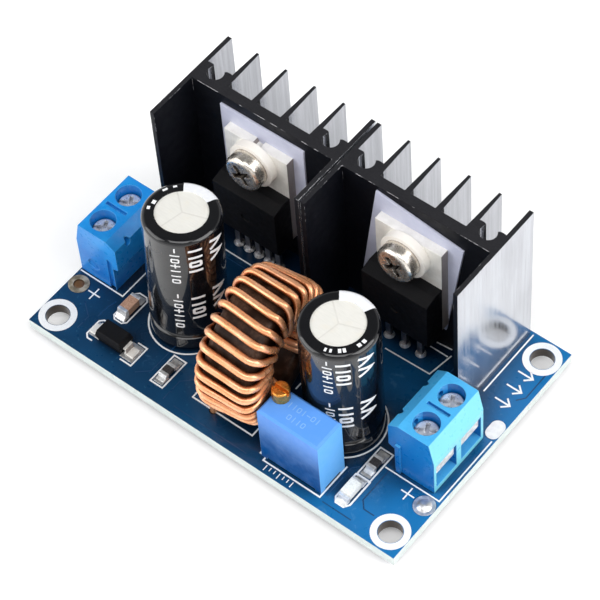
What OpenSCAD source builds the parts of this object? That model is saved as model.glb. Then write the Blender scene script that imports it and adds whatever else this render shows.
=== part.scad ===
// Step-down converter module: one circuit board that carries two finned heatsinks along its
// back edge, two screw terminals, two electrolytic capacitors, a wound ring inductor and a
// multi-turn trimmer. Millimetres, Z up. The origin lies under the centre of the board, level
// with the trimmed lead tips on which the bare module stands.

/* [Circuit board] */
// Length of the board, from the input end to the output end
board_l = 60; // [58:0.5:80]
// Width of the board, from the front edge to the heatsink edge
board_w = 37.5; // [36.5:0.5:50]
// Thickness of the board
board_t = 1.6; // [0.8:0.1:2.4]
// Diameter of the four corner mounting holes
mount_hole_d = 3.2; // [2.2:0.1:3.6]
// Centre of a mounting hole from the end of the board
mount_inset_x = 2.6; // [2.4:0.1:4]
// Centre of a mounting hole from the front or back edge
mount_inset_y = 2.8; // [2.4:0.1:4]
// Length of the trimmed leads that stands out below the board
lead_tail = 1.5; // [1.1:0.1:3]
// Room between a lead and its hole in the board
hole_gap = 0.15; // [0.1:0.05:0.3]

/* [Heatsinks] */
// Width of one extruded heatsink
sink_w = 23.9; // [21:0.1:26]
// Depth from the front of the side walls to the fin tips
sink_d = 15.5; // [14:0.1:16.5]
// Height of the heatsink above the board
sink_h = 25.5; // [24.5:0.5:40]
// How far the side walls run forward of the base
wing_l = 7.5; // [6:0.1:8.5]
// Thickness of the two side walls
wall_t = 0.65; // [0.5:0.05:1.3]
// Thickness of a fin at its tip
fin_t = 0.4; // [0.3:0.05:1]
// Number of fins, the two side walls included
fin_count = 6; // [6:2:8]
// Thickness of the base between the fins
web_t = 1.5; // [1.2:0.1:2.5]
// Depth of the thick screw bosses in the two outer bays
boss_d = 3.3; // [2.8:0.1:4]
// Diameter of the screw channel in each boss
channel_d = 2.3; // [1.8:0.1:2.5]
// Width of the open mouth of the screw channel
channel_mouth = 1.5; // [1:0.1:1.7]
// Gap between the two heatsinks
sink_gap = 0.3; // [0.1:0.1:0.8]
// Middle of the heatsink pair from the middle of the board, towards the output end
sinks_shift = -0.25; // [-1:0.05:1]
// Fin tips from the back edge of the board
sink_margin_b = 0.4; // [0:0.1:0.8]

/* [Power devices] */
// Width of a device across its metal tab
dev_w = 10.2; // [9.6:0.1:10.8]
// Thickness of a device from tab back to plastic front
dev_t = 4.5; // [4.2:0.1:4.8]
// Height of the plastic body
dev_body_h = 9.2; // [8.5:0.1:9.6]
// Height of the bare tab above the plastic body
dev_tab_h = 6.9; // [6.2:0.1:7.2]
// Thickness of the metal tab
tab_t = 1.3; // [1:0.1:1.5]
// Diameter of the hole in the tab
tab_hole_d = 3.8; // [3.7:0.05:4.2]
// Centre of the tab hole below the top of the tab
tab_hole_drop = 2.75; // [2.6:0.05:3]
// Height of the plastic body above the board
dev_lift = 5.3; // [3:0.1:7]
// Pitch of the five regulator leads
reg_pitch = 1.7; // [1.6:0.05:1.8]
// Pitch of the three diode leads
diode_pitch = 2.54; // [2.4:0.02:2.7]
// Width of a device lead
dev_lead_w = 0.8; // [0.6:0.05:0.9]
// Thickness of a device lead
dev_lead_t = 0.5; // [0.4:0.05:0.6]
// Middle of the leads from the back of the tab
dev_lead_set = 2.6; // [2.3:0.1:2.8]

/* [Insulation and screws] */
// Width of an insulating pad
pad_w = 13.5; // [12:0.1:14.5]
// Height of an insulating pad
pad_h = 19; // [17:0.1:19.6]
// Thickness of an insulating pad
pad_t = 0.3; // [0.2:0.05:0.5]
// Clockwise turn of the output pad, seen from the front
pad_turn = 8.5; // [0:0.5:9]
// Flange diameter of an insulating bushing
bush_d = 6.8; // [6:0.1:8]
// Flange thickness of an insulating bushing
bush_t = 1.2; // [0.8:0.1:1.6]
// Thread diameter of the device screws
screw_d = 2.9; // [2.4:0.1:3]
// Head diameter of the device screws
screw_head_d = 5.5; // [5:0.1:5.8]
// Head height of the device screws
screw_head_h = 2; // [1.6:0.1:2.4]
// Length of the device screws under the head
screw_l = 6; // [5.5:0.5:9]

/* [Capacitors] */
// Diameter of a capacitor can
can_d = 10; // [8:0.1:10.6]
// Height of a capacitor can
can_h = 21; // [16:0.5:25]
// Thickness of the plastic sleeve
sleeve_t = 0.12; // [0.08:0.02:0.2]
// Diameter of the bare top inside the sleeve's lip
bare_top_d = 6.9; // [6:0.1:7.4]
// Height of the rubber plug below the can
bung_drop = 0.5; // [0.3:0.1:1]
// Diameter of a capacitor lead
can_lead_d = 0.6; // [0.5:0.05:0.8]
// Pitch of the two capacitor leads
can_lead_pitch = 5; // [3.5:0.1:5.2]
// Backward lean of the input capacitor
can_lean = 3.2; // [0:0.2:4]
// Middle of the input capacitor from the middle of the board, towards the input end
can_in_shift = 12.9; // [12:0.05:14]
// Middle of the input capacitor from the front edge of the board
can_in_inset = 12.55; // [12:0.05:13]
// Middle of the output capacitor from the left end of the trimmer
can_out_shift = 5.3; // [5.3:0.1:5.6]
// Gap between the output capacitor and the trimmer
can_gap = 0.35; // [0.2:0.05:0.5]

/* [Inductor] */
// Outer diameter of the ring core
core_od = 17.5; // [16:0.1:18.5]
// Bore of the ring core
core_id = 10; // [9.8:0.1:10.4]
// Width of the ring core along its axis
core_l = 7; // [5.5:0.1:7.4]
// Diameter of the winding wire
wire_d = 1; // [0.7:0.05:1]
// Number of turns
turns = 24; // [16:1:24]
// Arc of the ring that the turns cover in the bore
wind_arc = 270; // [270:5:290]
// How much the turns crowd together at both ends of the winding
crowding = 0.12; // [0:0.02:0.3]
// How far every second turn lies further into the bore
bore_stagger = 0.65; // [0.65:0.05:0.8]
// Turn of the inductor about the upright axis
coil_yaw = 8; // [0:0.5:10]
// Middle of the inductor from the middle of the board, towards the output end
coil_shift = 1.75; // [1:0.05:2]
// Middle of the inductor from the front edge of the board
coil_inset = 10.2; // [10.2:0.05:10.6]

/* [Trimmer] */
// Length of the trimmer
trim_l = 9.5; // [9:0.1:10]
// Width of the trimmer
trim_w = 4.8; // [4.6:0.1:5.2]
// Height of the trimmer body above its feet
trim_h = 10; // [8:0.1:11]
// Height of the trimmer's feet
trim_foot = 0.3; // [0.2:0.05:0.6]
// Diameter of the adjusting screw
trim_screw_d = 2.4; // [1.8:0.1:2.4]
// Front of the trimmer from the front edge of the board
trim_inset = 1.95; // [1.5:0.05:2.5]
// Gap between the trimmer and the inductor
trim_gap = 0.15; // [0.1:0.05:0.5]
// Height of the adjusting screw above the body
trim_screw_h = 1.8; // [1:0.05:2]

/* [Screw terminals] */
// Pitch of the two ways
term_pitch = 5.08; // [5:0.02:5.3]
// Depth of a terminal from the wire side to the back
term_d = 7; // [6.8:0.1:7.6]
// Height of a terminal
term_h = 10; // [9.6:0.1:12]
// Diameter of the screw wells
well_d = 3.5; // [3.3:0.05:3.8]
// Width of a wire entry
entry_w = 4.1; // [3.9:0.05:4.3]
// Top of a wire entry above the board
entry_top = 5.4; // [5.2:0.1:6]
// Floor of a wire entry above the board
entry_floor = 0.8; // [0.6:0.05:1]
// Underside of the contact strip above the board
strip_z = 3.2; // [3:0.1:3.4]
// Thickness of the contact strip
strip_t = 0.7; // [0.5:0.05:0.8]
// Travel of a clamp from closed to open
clamp_travel = 1.6; // [1:0.1:1.6]
// Thread diameter of a clamp screw
clamp_screw_d = 2.5; // [2:0.1:2.6]
// Head diameter of a clamp screw
clamp_head_d = 3.2; // [3:0.05:3.25]
// Wire side of the input terminal from the end of the board
term_in_edge = 0.15; // [0:0.05:1]
// Wire side of the output terminal from the end of the board
term_out_edge = 1.6; // [0.5:0.1:1.8]

/* [Small soldered parts] */
// Middle of the ceramic capacitor from the front edge of the board
ceramic_inset = 9.3; // [9:0.1:9.4]
// Middle of the input resistor from the middle of the board, towards the input end
chip_in_shift = 9.95; // [9.6:0.05:10.2]
// Middle of the input resistor from the front edge of the board
chip_in_inset = 4.6; // [3:0.1:5]
// Middle of the output resistor from the front edge of the board
chip_out_inset = 9.4; // [9:0.1:9.5]
// Middle of the indicator lamp from the front edge of the board
led_inset = 4.5; // [4:0.1:5]
// Middle of the moulded diode from the input end of the board
sma_inset_x = 11.4; // [11:0.1:12]
// Middle of the moulded diode from the front edge of the board
sma_inset_y = 4.1; // [3.5:0.1:4.5]

/* [Hidden] */
$fn = 48;

// Clearances
touch = 0.02;          // between a piece and the seat that holds it
run = 0.06;            // between a turning screw and its bore
slide = 0.15;          // beside a sliding clamp
eps = 0.01;            // overrun of a cut past the face it opens

// Heights
board_z = lead_tail;
top_z = board_z + board_t;

// Heatsink places, from the middle of the board and the back edge
sink_front_y = board_w / 2 - sink_margin_b - sink_d;
base_y = sink_front_y + wing_l;
sink_out_x = sinks_shift + (sink_w + sink_gap) / 2;
sink_in_x = sinks_shift - (sink_w + sink_gap) / 2;
fin_pitch = (sink_w - wall_t) / (fin_count - 1);
fin_root = 2.2 * fin_t;
boss_w = fin_pitch;
lip_w = (boss_w - channel_mouth) / 2;
boss_round = min(0.6, lip_w / 2 - 0.05);
channel_set = boss_d - channel_d / 2 + 0.15;

// Stack on the heatsink's base, from the base forward
tab_back_y = base_y - pad_t;
tab_front_y = tab_back_y - tab_t;
flange_front_y = tab_front_y - bush_t;
dev_front_y = tab_back_y - dev_t;
dev_z = top_z + dev_lift;
tab_top_z = dev_z + dev_body_h + dev_tab_h;
hole_z = tab_top_z - tab_hole_drop;
dev_lead_y = tab_back_y - dev_lead_set;
thread_hole_d = screw_d + 2 * run;

// Terminals, each modelled with its wire side at x = 0 and its back at x = term_d
term_l = 2 * term_pitch;
term_clear = 1;
term_y = sink_front_y - term_clear - term_l / 2;
term_in_x = -board_l / 2 + term_in_edge;
term_out_x = board_l / 2 - term_out_edge;
well_x = 0.42 * term_d;
top_front = 0.75;
top_back = term_d - 1.5;
cage_l = 3;
cage_x = well_x - cage_l / 2;
cage_w = entry_w - 2 * slide;
jaw_t = 0.7;
cage_wall = 0.5;
cage_top_t = 0.9;
cage_z = strip_z - jaw_t - touch;
window_h = strip_t + clamp_travel + 2 * slide;
cage_h = jaw_t + window_h + cage_top_t;
ceiling_z = cage_z + cage_h + 0.1;
ledge_t = 0.5;
head_z = ceiling_z + ledge_t;
clamp_head_h = 1.15;
chamber_back = cage_x + cage_l + 1;
pin_w = 1;
pin_t = 0.6;
pin_x = chamber_back - pin_t / 2 - 0.1;
strip_w = cage_w - 2 * cage_wall - 2 * slide;
apron_t = 0.4;
apron_x = 0.3;
chamber_front = cage_x - 2 * slide;
apron_z = entry_top - strip_z - 0.1;

// Capacitors
skin = touch;
can_r = can_d / 2;
sleeve_r = can_r + skin + sleeve_t;
can_round = 0.7;
groove_z = 2.3;
groove_r = 0.7;
groove_depth = 0.35;
groove_at = can_r + groove_r - groove_depth;
bung_r = can_r - 0.7;
bung_in = 1;
lead_depth = bung_drop + bung_in - 0.3;
can_in_x = -can_in_shift;
can_in_y = -board_w / 2 + can_in_inset;

// Inductor
wrap = 0.1;            // between the core and the wire
wire_r = wire_d / 2;
core_round = 0.9;
coil_out = core_od / 2 + wrap + wire_r;
coil_in = core_id / 2 - wrap - wire_r;
coil_half = core_l / 2 + wrap + wire_r;
bend = core_round + wrap + wire_r;
coil_x = coil_shift;
coil_y = -board_w / 2 + coil_inset;
coil_z = top_z + coil_out + wire_r + 0.1;
coil_face = coil_half + wire_r;

// Trimmer, its left end clear of the inductor's side face
trim_front_y = -board_w / 2 + trim_inset;
trim_y = trim_front_y + trim_w / 2;
trim_left_x = coil_x + (coil_y - trim_front_y) * tan(coil_yaw) + coil_face / cos(coil_yaw) + trim_gap;
trim_x = trim_left_x + trim_l / 2;
trim_z = top_z + trim_foot;
trim_screw_x = trim_left_x + trim_screw_d / 2;
trim_screw_y = trim_y + trim_w / 2 - 1.4;
trim_shank_d = 0.8 * trim_screw_d;
trim_shank_l = 2.5;
trim_pin_d = 0.5;
trim_pitch = 2.54;
trim_base_t = 0.8;
trim_wall = 0.4;
trim_post = 0.9;

// Output capacitor, behind the trimmer
can_out_x = trim_left_x + can_out_shift;
can_out_y = trim_front_y + trim_w + can_gap + sleeve_r;

// Chip parts: length, width, height and the length of a soldered end
chip_l = 2;
chip_w = 1.25;
chip_h = 0.55;
chip_end = 0.45;
ceramic_l = 3;
ceramic_w = 1.5;
ceramic_h = 1.2;
led_l = 3.2;
led_w = 1.5;
led_h = 1.1;
seat = 0.1;            // solder between a chip part and the board
ceramic_pos = [(term_in_x + term_d + can_in_x - sleeve_r) / 2, -board_w / 2 + ceramic_inset];
chip_in_pos = [-chip_in_shift, -board_w / 2 + chip_in_inset];
chip_out_x = (can_out_x + sleeve_r + term_out_x - term_d) / 2 + 0.2;
chip_out_pos = [chip_out_x, -board_w / 2 + chip_out_inset];
led_pos = [chip_out_x, -board_w / 2 + led_inset];
sma_l = 4.3;
sma_w = 2.7;
sma_h = 2.1;
sma_tab_w = 1.5;
sma_span = 5.2;
sma_tab_t = 0.2;
sma_pos = [-board_l / 2 + sma_inset_x, -board_w / 2 + sma_inset_y];

// Bare solder pads beside the terminals
test_pad_d = 2.9;
test_pad_t = 0.06;
test_pad_y = term_y - term_l / 2 - 0.75 - test_pad_d / 2;
test_in_x = -board_l / 2 + 0.05 + test_pad_d / 2;
test_out_x = board_l / 2 - 0.05 - test_pad_d / 2;
test_hole_d = 1.5;
minus_pad_w = 2;
minus_pad_l = 3;
minus_pad_x = board_l / 2 - 0.05 - minus_pad_w / 2;
minus_pad_y = term_y + term_l / 2 + 0.35 + minus_pad_l / 2;

// Leads that pass through the board: [x, y, width, thickness, solder beside the lead, lean].
// Thickness 0 means a round lead. The lean turns a lead about its point on the board's top.
narrow_joint = 0.3;
wide_joint = 0.7;
function fan(n, pitch) = [for (i = [0 : n - 1]) (i - (n - 1) / 2) * pitch];
function coil_point(p) = [
    coil_x + p[0] * cos(coil_yaw) - p[1] * sin(coil_yaw),
    coil_y + p[0] * sin(coil_yaw) + p[1] * cos(coil_yaw)
];
reg_leads = [for (d = fan(5, reg_pitch)) [sink_in_x + d, dev_lead_y, dev_lead_w, dev_lead_t, narrow_joint, 0]];
rect_leads = [for (d = fan(3, diode_pitch)) [sink_out_x + d, dev_lead_y, dev_lead_w, dev_lead_t, wide_joint, 0]];
can_in_leads = [for (d = fan(2, can_lead_pitch)) [can_in_x + d, can_in_y, can_lead_d, 0, wide_joint, can_lean]];
can_out_leads = [for (d = fan(2, can_lead_pitch)) [can_out_x + d, can_out_y, can_lead_d, 0, wide_joint, 0]];
trim_leads = [for (d = fan(3, trim_pitch)) [trim_x + d, trim_y, trim_pin_d, 0, wide_joint, 0]];
term_in_leads = [for (d = fan(2, term_pitch)) [term_in_x + pin_x, term_y + d, pin_t, pin_w, wide_joint, 0]];
term_out_leads = [for (d = fan(2, term_pitch)) [term_out_x - pin_x, term_y + d, pin_t, pin_w, wide_joint, 0]];

// Winding path. One turn runs once round the core's section, in 16 steps: along the rim from
// the input side to the output side, in along the output face, back through the bore, and out
// along the input face. Each step has its place [along the axis, radius] and its share of the
// way between the five angles at which the turn meets the section's corners.
function corner(sx, sr, a) = [
    sx * (coil_half - bend + bend * cos(a)),
    (sr > 0 ? coil_out - bend : coil_in + bend) + sr * bend * sin(a)
];
rim_mid = [0, coil_out];
bore_mid = [0, coil_in];
face_mid = (coil_out + coil_in) / 2;
SECTION = [
    corner(-1, 1, 90), rim_mid, corner(1, 1, 90), corner(1, 1, 45), corner(1, 1, 0),
    [coil_half, face_mid], corner(1, -1, 0), corner(1, -1, 45), corner(1, -1, 90),
    bore_mid, corner(-1, -1, 90), corner(-1, -1, 45), corner(-1, -1, 0),
    [-coil_half, face_mid], corner(-1, 1, 0), corner(-1, 1, 45)
];
SHARE = [0, 0.5, 1, 1.1, 1.2, 1.5, 1.8, 1.9, 2, 2.5, 3, 3.1, 3.2, 3.5, 3.8, 3.9];
wind_mid = 90;
bore_step = wind_arc / (turns - 1);
rim_slant = 0.5 * bore_step;
function bore_angle(i) = wind_mid - wind_arc / 2 + i * bore_step;
function rim_angle(i) =
    let (s = 2 * i / (turns - 1) - 1)
    wind_mid + wind_arc / 2 * (s + crowding * sin(180 * s) / PI) - 0.25 * bore_step;
function meets(i) = [
    rim_angle(i) - rim_slant / 2, rim_angle(i) + rim_slant / 2,
    bore_angle(i) - 0.5, bore_angle(i) + 0.5, rim_angle(i + 1) - rim_slant / 2
];
function blend(list, s) =
    let (k = floor(s))
    list[k] + (s - k) * (list[k + 1] - list[k]);
function on_ring(axial, radius, a) = [axial, radius * cos(a), radius * sin(a)];
function stagger(i, j) = j < 6 || j > 12 ? 0 : bore_stagger * (i % 2);
function turn_point(i, j) =
    on_ring(SECTION[j][0], SECTION[j][1] - stagger(i, j), blend(meets(i), SHARE[j]));

// The two ends leave the winding on the input side and drop straight into the board
wire_start_a = meets(0)[0];
wire_end_a = meets(turns - 1)[4];
wire_start_y = coil_out * cos(wire_start_a);
wire_end_y = coil_out * cos(wire_end_a);
wire_floor = top_z - coil_z;
wire_tip = -coil_z;
wire_lift = wire_floor + 0.9;
START_LEAD = [
    [-coil_half, wire_start_y, wire_tip], [-coil_half, wire_start_y, wire_floor],
    [-coil_half, wire_start_y, wire_lift],
    [-coil_half + 0.15 * bend, wire_start_y, (wire_lift + coil_out * sin(wire_start_a)) / 2],
    [-coil_half + 0.45 * bend, wire_start_y, coil_out * sin(wire_start_a) - 0.25 * bend]
];
END_LEAD = [
    on_ring(-coil_half, coil_out - bend, wire_end_a),
    [-coil_half, wire_end_y * 0.97, (coil_out - 0.4 * bend) * sin(wire_end_a)],
    [-coil_half, wire_end_y, wire_lift], [-coil_half, wire_end_y, wire_floor],
    [-coil_half, wire_end_y, wire_tip]
];
WIRE_PATH = concat(
    START_LEAD,
    [for (i = [0 : turns - 1]) for (j = [0 : (i == turns - 1 ? 13 : 15)]) turn_point(i, j)],
    END_LEAD
);
coil_leads = [
    concat(coil_point([-coil_half, wire_start_y]), [wire_d, 0, wide_joint, 0]),
    concat(coil_point([-coil_half, wire_end_y]), [wire_d, 0, wide_joint, 0])
];
LEADS = concat(reg_leads, rect_leads, can_in_leads, can_out_leads, trim_leads, term_in_leads,
    term_out_leads, coil_leads);
function lead_span(l) = l[3] == 0 ? l[2] : sqrt(l[2] * l[2] + l[3] * l[3]);
function lead_hole_d(l) = lead_span(l) + 2 * hole_gap;

// ---- Shared shapes ----

// Section of a lead, grown all round by a clearance
module lead_section(l, grow = 0) {
    if (l[3] == 0) circle(d = l[2] + 2 * grow);
    else square([l[2] + 2 * grow, l[3] + 2 * grow], center = true);
}

// Cylinder whose top edge is rounded
module domed_cylinder(r, h, f) {
    rotate_extrude() {
        square([r - f, h]);
        square([r, h - f]);
        translate([r - f, h - f]) intersection() {
            circle(f);
            square(f);
        }
    }
}

// Box standing on z = 0 with its four top edges chamfered
module chamfered_box(l, w, h, c) {
    difference() {
        translate([-l / 2, -w / 2, 0]) cube([l, w, h]);
        for (s = [-1, 1]) {
            translate([s * l / 2, 0, h]) rotate([0, 45, 0])
                cube([c * sqrt(2), w + 1, c * sqrt(2)], center = true);
            translate([0, s * w / 2, h]) rotate([45, 0, 0])
                cube([l + 1, c * sqrt(2), c * sqrt(2)], center = true);
        }
    }
}

// Sweep of a round section along a path, with one ring of points for each path point.
// The rings are set square to the path and turned by the direction away from the core's section.
module swept_wire(path, r, sides) {
    n = len(path);
    function unit(v) = v / norm(v);
    function tangent(k) = unit(path[min(k + 1, n - 1)] - path[max(k - 1, 0)]);
    function outward(p) =
        let (rho = max(norm([p[1], p[2]]), eps))
        [p[0], (rho - face_mid) * p[1] / rho, (rho - face_mid) * p[2] / rho];
    function ring(k) =
        let (t = tangent(k), o = outward(path[k]), a = unit(o - (o * t) * t), b = cross(t, a))
        [for (s = [0 : sides - 1]) path[k] + r * (cos(360 * s / sides) * a + sin(360 * s / sides) * b)];
    points = [for (k = [0 : n - 1]) each ring(k)];
    skin_faces = [
        for (k = [0 : n - 2]) for (s = [0 : sides - 1])
            let (a = k * sides + s, b = k * sides + (s + 1) % sides)
            each [[a, a + sides, b], [b, a + sides, b + sides]]
    ];
    start_face = [[for (s = [0 : sides - 1]) s]];
    end_face = [[for (s = [0 : sides - 1]) n * sides - 1 - s]];
    polyhedron(points, concat(skin_faces, start_face, end_face));
}

// ---- Circuit board ----

module circuit_board() {
    color("royalblue") translate([0, 0, board_z]) linear_extrude(board_t) difference() {
        square([board_l, board_w], center = true);
        for (sx = [-1, 1]) for (sy = [-1, 1])
            translate([sx * (board_l / 2 - mount_inset_x), sy * (board_w / 2 - mount_inset_y)])
                circle(d = mount_hole_d);
        for (l = LEADS) translate([l[0], l[1]]) circle(d = lead_hole_d(l));
        translate([test_in_x, test_pad_y]) circle(d = test_hole_d);
    }
}

module test_pads() {
    blob_d = 0.72 * test_pad_d;
    blob_h = 0.5;
    blob_r = (blob_d * blob_d / 4 + blob_h * blob_h) / (2 * blob_h);
    color("silver") translate([0, 0, top_z]) {
        translate([test_in_x, test_pad_y]) difference() {
            cylinder(d = test_pad_d, h = test_pad_t);
            translate([0, 0, -eps]) cylinder(d = test_hole_d, h = 1);
        }
        translate([test_out_x, test_pad_y]) {
            cylinder(d = test_pad_d, h = test_pad_t);
            intersection() {
                translate([0, 0, blob_h - blob_r]) sphere(blob_r);
                cylinder(d = test_pad_d, h = 1);
            }
        }
        translate([minus_pad_x, minus_pad_y]) linear_extrude(test_pad_t) {
            square([minus_pad_w, minus_pad_l - minus_pad_w], center = true);
            for (s = [-1, 1]) translate([0, s * (minus_pad_l - minus_pad_w) / 2])
                circle(d = minus_pad_w);
        }
    }
}

// Solder under every lead, and the small collars on top round the device leads
module solder_joints() {
    fillet_h = lead_tail - 0.5;
    collar_h = 0.4;
    color("silver") {
        for (l = LEADS) translate([l[0], l[1], board_z - fillet_h]) difference() {
            cylinder(d1 = lead_span(l) + 0.4, d2 = lead_span(l) + 2 * l[4], h = fillet_h);
            translate([0, 0, fillet_h + board_t]) rotate([-l[5], 0, 0])
                translate([0, 0, -fillet_h - board_t - 1])
                    linear_extrude(fillet_h + board_t + 2) lead_section(l, touch);
        }
        for (l = concat(reg_leads, rect_leads)) translate([l[0], l[1], top_z]) difference() {
            cylinder(d1 = lead_span(l) + 2 * narrow_joint, d2 = lead_span(l) + 0.15, h = collar_h);
            translate([0, 0, -eps]) linear_extrude(1) lead_section(l, touch);
        }
    }
}

// ---- Heatsinks ----

// Extrusion profile, centred across, with the front of the side walls at y = 0
module sink_profile() {
    fin_l = sink_d - wing_l - web_t;
    difference() {
        union() {
            for (s = [-1, 1]) translate([s * (sink_w - wall_t) / 2 - wall_t / 2, 0])
                square([wall_t, sink_d]);
            translate([-sink_w / 2, wing_l]) square([sink_w, web_t]);
            for (i = [1 : fin_count - 2])
                translate([-sink_w / 2 + wall_t / 2 + i * fin_pitch, wing_l + web_t])
                    polygon([
                        [-fin_root / 2, -web_t / 2], [fin_root / 2, -web_t / 2],
                        [fin_t / 2, fin_l], [-fin_t / 2, fin_l]
                    ]);
            for (s = [-1, 1], e = [-1, 1])
                translate([s * (sink_w - wall_t - boss_w) / 2 + e * (boss_w - lip_w) / 2, wing_l])
                    boss_lip();
        }
        for (s = [-1, 1]) translate([s * (sink_w - wall_t - boss_w) / 2, wing_l + channel_set])
            circle(d = channel_d);
    }
}

// Half of a screw boss, centred across, standing on y = 0
module boss_lip() {
    translate([-lip_w / 2, 0]) square([lip_w, boss_d - boss_round]);
    translate([boss_round - lip_w / 2, 0]) square([lip_w - 2 * boss_round, boss_d]);
    for (e = [-1, 1]) translate([e * (lip_w / 2 - boss_round), boss_d - boss_round])
        circle(boss_round);
}

module heatsink(x) {
    color([0.12, 0.12, 0.13]) difference() {
        translate([x, sink_front_y, top_z]) linear_extrude(sink_h) sink_profile();
        translate([x, base_y + web_t + 1, hole_z]) rotate([90, 0, 0])
            cylinder(d = thread_hole_d, h = web_t + 2);
    }
}

module heatsink_input() heatsink(sink_in_x);
module heatsink_output() heatsink(sink_out_x);

// ---- Insulation and screws ----

module insulating_pad(x, turn) {
    shift = turn > 0 ? -0.6 : 0.15;
    color("lavender") difference() {
        translate([x + shift, base_y, top_z + sink_h - 1.6 - pad_h / 2]) rotate([90, turn, 0])
            linear_extrude(pad_t) square([pad_w, pad_h], center = true);
        translate([x, base_y + 1, hole_z]) rotate([90, 0, 0])
            cylinder(d = tab_hole_d, h = pad_t + 2);
    }
}

module insulating_pad_input() insulating_pad(sink_in_x, 0);
module insulating_pad_output() insulating_pad(sink_out_x, pad_turn);

// Shoulder washer: a round flange with a collar that reaches into the tab hole
module bushing(x) {
    color("white") translate([x, tab_front_y, hole_z]) rotate([90, 0, 0]) difference() {
        union() {
            cylinder(d = bush_d, h = bush_t);
            translate([0, 0, -tab_t + touch]) cylinder(d = tab_hole_d - 2 * run, h = tab_t);
        }
        translate([0, 0, -tab_t - 1]) cylinder(d = screw_d + 2 * run, h = tab_t + bush_t + 2);
    }
}

module bushing_input() bushing(sink_in_x);
module bushing_output() bushing(sink_out_x);

// Cross of two slots cut into a screw head
module cross_recess(w, l, depth) {
    for (a = [0, 90]) rotate(a) translate([-l / 2, -w / 2, -depth]) cube([l, w, depth + 1]);
}

module device_screw(x) {
    crown = 0.7;
    color("gainsboro") translate([x, flange_front_y, hole_z]) rotate([90, 0, 0]) difference() {
        union() {
            domed_cylinder(screw_head_d / 2, screw_head_h, crown);
            translate([0, 0, -screw_l]) cylinder(d = screw_d, h = screw_l + eps);
        }
        translate([0, 0, screw_head_h]) rotate(35) cross_recess(0.75, 0.6 * screw_head_d, 1.2);
    }
}

module device_screw_input() device_screw(sink_in_x);
module device_screw_output() device_screw(sink_out_x);

// ---- Power devices ----

// Plastic body in front of the tab, with a sloped top and lower edge
module device_body(x) {
    slope = 0.5;
    plastic_t = dev_t - tab_t;
    round_d = 1.4;
    color([0.1, 0.1, 0.1]) difference() {
        translate([x - dev_w / 2, tab_front_y, dev_z]) rotate([90, 0, 90]) linear_extrude(dev_w)
            polygon([
                [0, 0], [0, dev_body_h], [-0.45 * plastic_t, dev_body_h],
                [-plastic_t, dev_body_h - slope], [-plastic_t, slope], [-plastic_t + slope, 0]
            ]);
        translate([x, dev_front_y + 0.15, dev_z + dev_body_h / 2]) rotate([90, 0, 0])
            cylinder(d = round_d, h = 1);
    }
}

// Metal plate behind and above the plastic body
module device_tab(x, notch_r) {
    color("gainsboro") difference() {
        translate([x - dev_w / 2, tab_front_y, dev_z + 0.6])
            cube([dev_w, tab_t, dev_body_h + dev_tab_h - 0.6]);
        translate([x, tab_back_y + 1, hole_z]) rotate([90, 0, 0])
            cylinder(d = tab_hole_d, h = tab_t + 2);
        if (notch_r > 0) translate([x, tab_back_y + 1, tab_top_z]) rotate([90, 0, 0])
            cylinder(r = notch_r, h = tab_t + 2);
    }
}

// Leads from the underside of the plastic, wider for a stretch if shoulder_w is given
module device_leads(leads, shoulder_w) {
    shoulder_h = 2.4;
    color("silver") for (l = leads) translate([l[0], l[1], 0]) {
        linear_extrude(dev_z) lead_section(l);
        if (shoulder_w > 0) translate([-shoulder_w / 2, -l[3] / 2, dev_z - shoulder_h])
            cube([shoulder_w, l[3], shoulder_h]);
    }
}

module regulator_body() device_body(sink_in_x);
module regulator_tab() device_tab(sink_in_x, 0.65);
module regulator_leads() device_leads(reg_leads, 0);
module rectifier_body() device_body(sink_out_x);
module rectifier_tab() device_tab(sink_out_x, 0);
module rectifier_leads() device_leads(rect_leads, 1.3);

// ---- Capacitors ----

module on_board(x, y, lean) {
    translate([x, y, top_z]) rotate([-lean, 0, 0]) children();
}

// Ring-shaped bead groove near the open end of the can
module bead(shrink) {
    rotate_extrude() translate([groove_at, bung_drop + groove_z]) circle(groove_r - shrink);
}

// A leaning plug stands on its low edge, so its middle is higher
function lean_lift(lean) = bung_r * tan(lean) + (lean > 0 ? eps / 2 : 0);

module can(x, y, lean) {
    color("gainsboro") on_board(x, y, lean) translate([0, 0, lean_lift(lean)]) difference() {
        translate([0, 0, bung_drop]) domed_cylinder(can_r, can_h, can_round);
        bead(0);
        cylinder(r = bung_r + touch, h = bung_drop + bung_in);
    }
}

module sleeve(x, y, lean) {
    color([0.1, 0.1, 0.12]) on_board(x, y, lean) translate([0, 0, lean_lift(lean)]) difference() {
        translate([0, 0, bung_drop]) domed_cylinder(sleeve_r, can_h + sleeve_t, can_round);
        difference() {
            translate([0, 0, bung_drop - eps]) domed_cylinder(can_r + skin, can_h + eps, can_round);
            bead(skin);
        }
        difference() {
            bead(skin + sleeve_t);
            cylinder(r = can_r - groove_depth + skin + sleeve_t - eps, h = can_h);
        }
        translate([0, 0, can_h]) cylinder(d = bare_top_d, h = 2);
    }
}

module bung(x, y, lean) {
    color([0.15, 0.15, 0.15]) on_board(x, y, lean) translate([0, 0, lean_lift(lean)]) difference() {
        cylinder(r = bung_r, h = bung_drop + bung_in);
        for (d = fan(2, can_lead_pitch)) translate([d, 0, -eps])
            cylinder(d = can_lead_d + 2 * touch, h = lead_depth + eps);
    }
}

// Leads in line with the can; the tips of leaning ones stay clear of the ground
module can_leads(x, y, lean) {
    drop = (top_z - can_lead_d / 2 * sin(lean)) / cos(lean);
    color("silver") on_board(x, y, lean) for (d = fan(2, can_lead_pitch)) translate([d, 0, -drop])
        cylinder(d = can_lead_d, h = drop + lean_lift(lean) + lead_depth);
}

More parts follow.
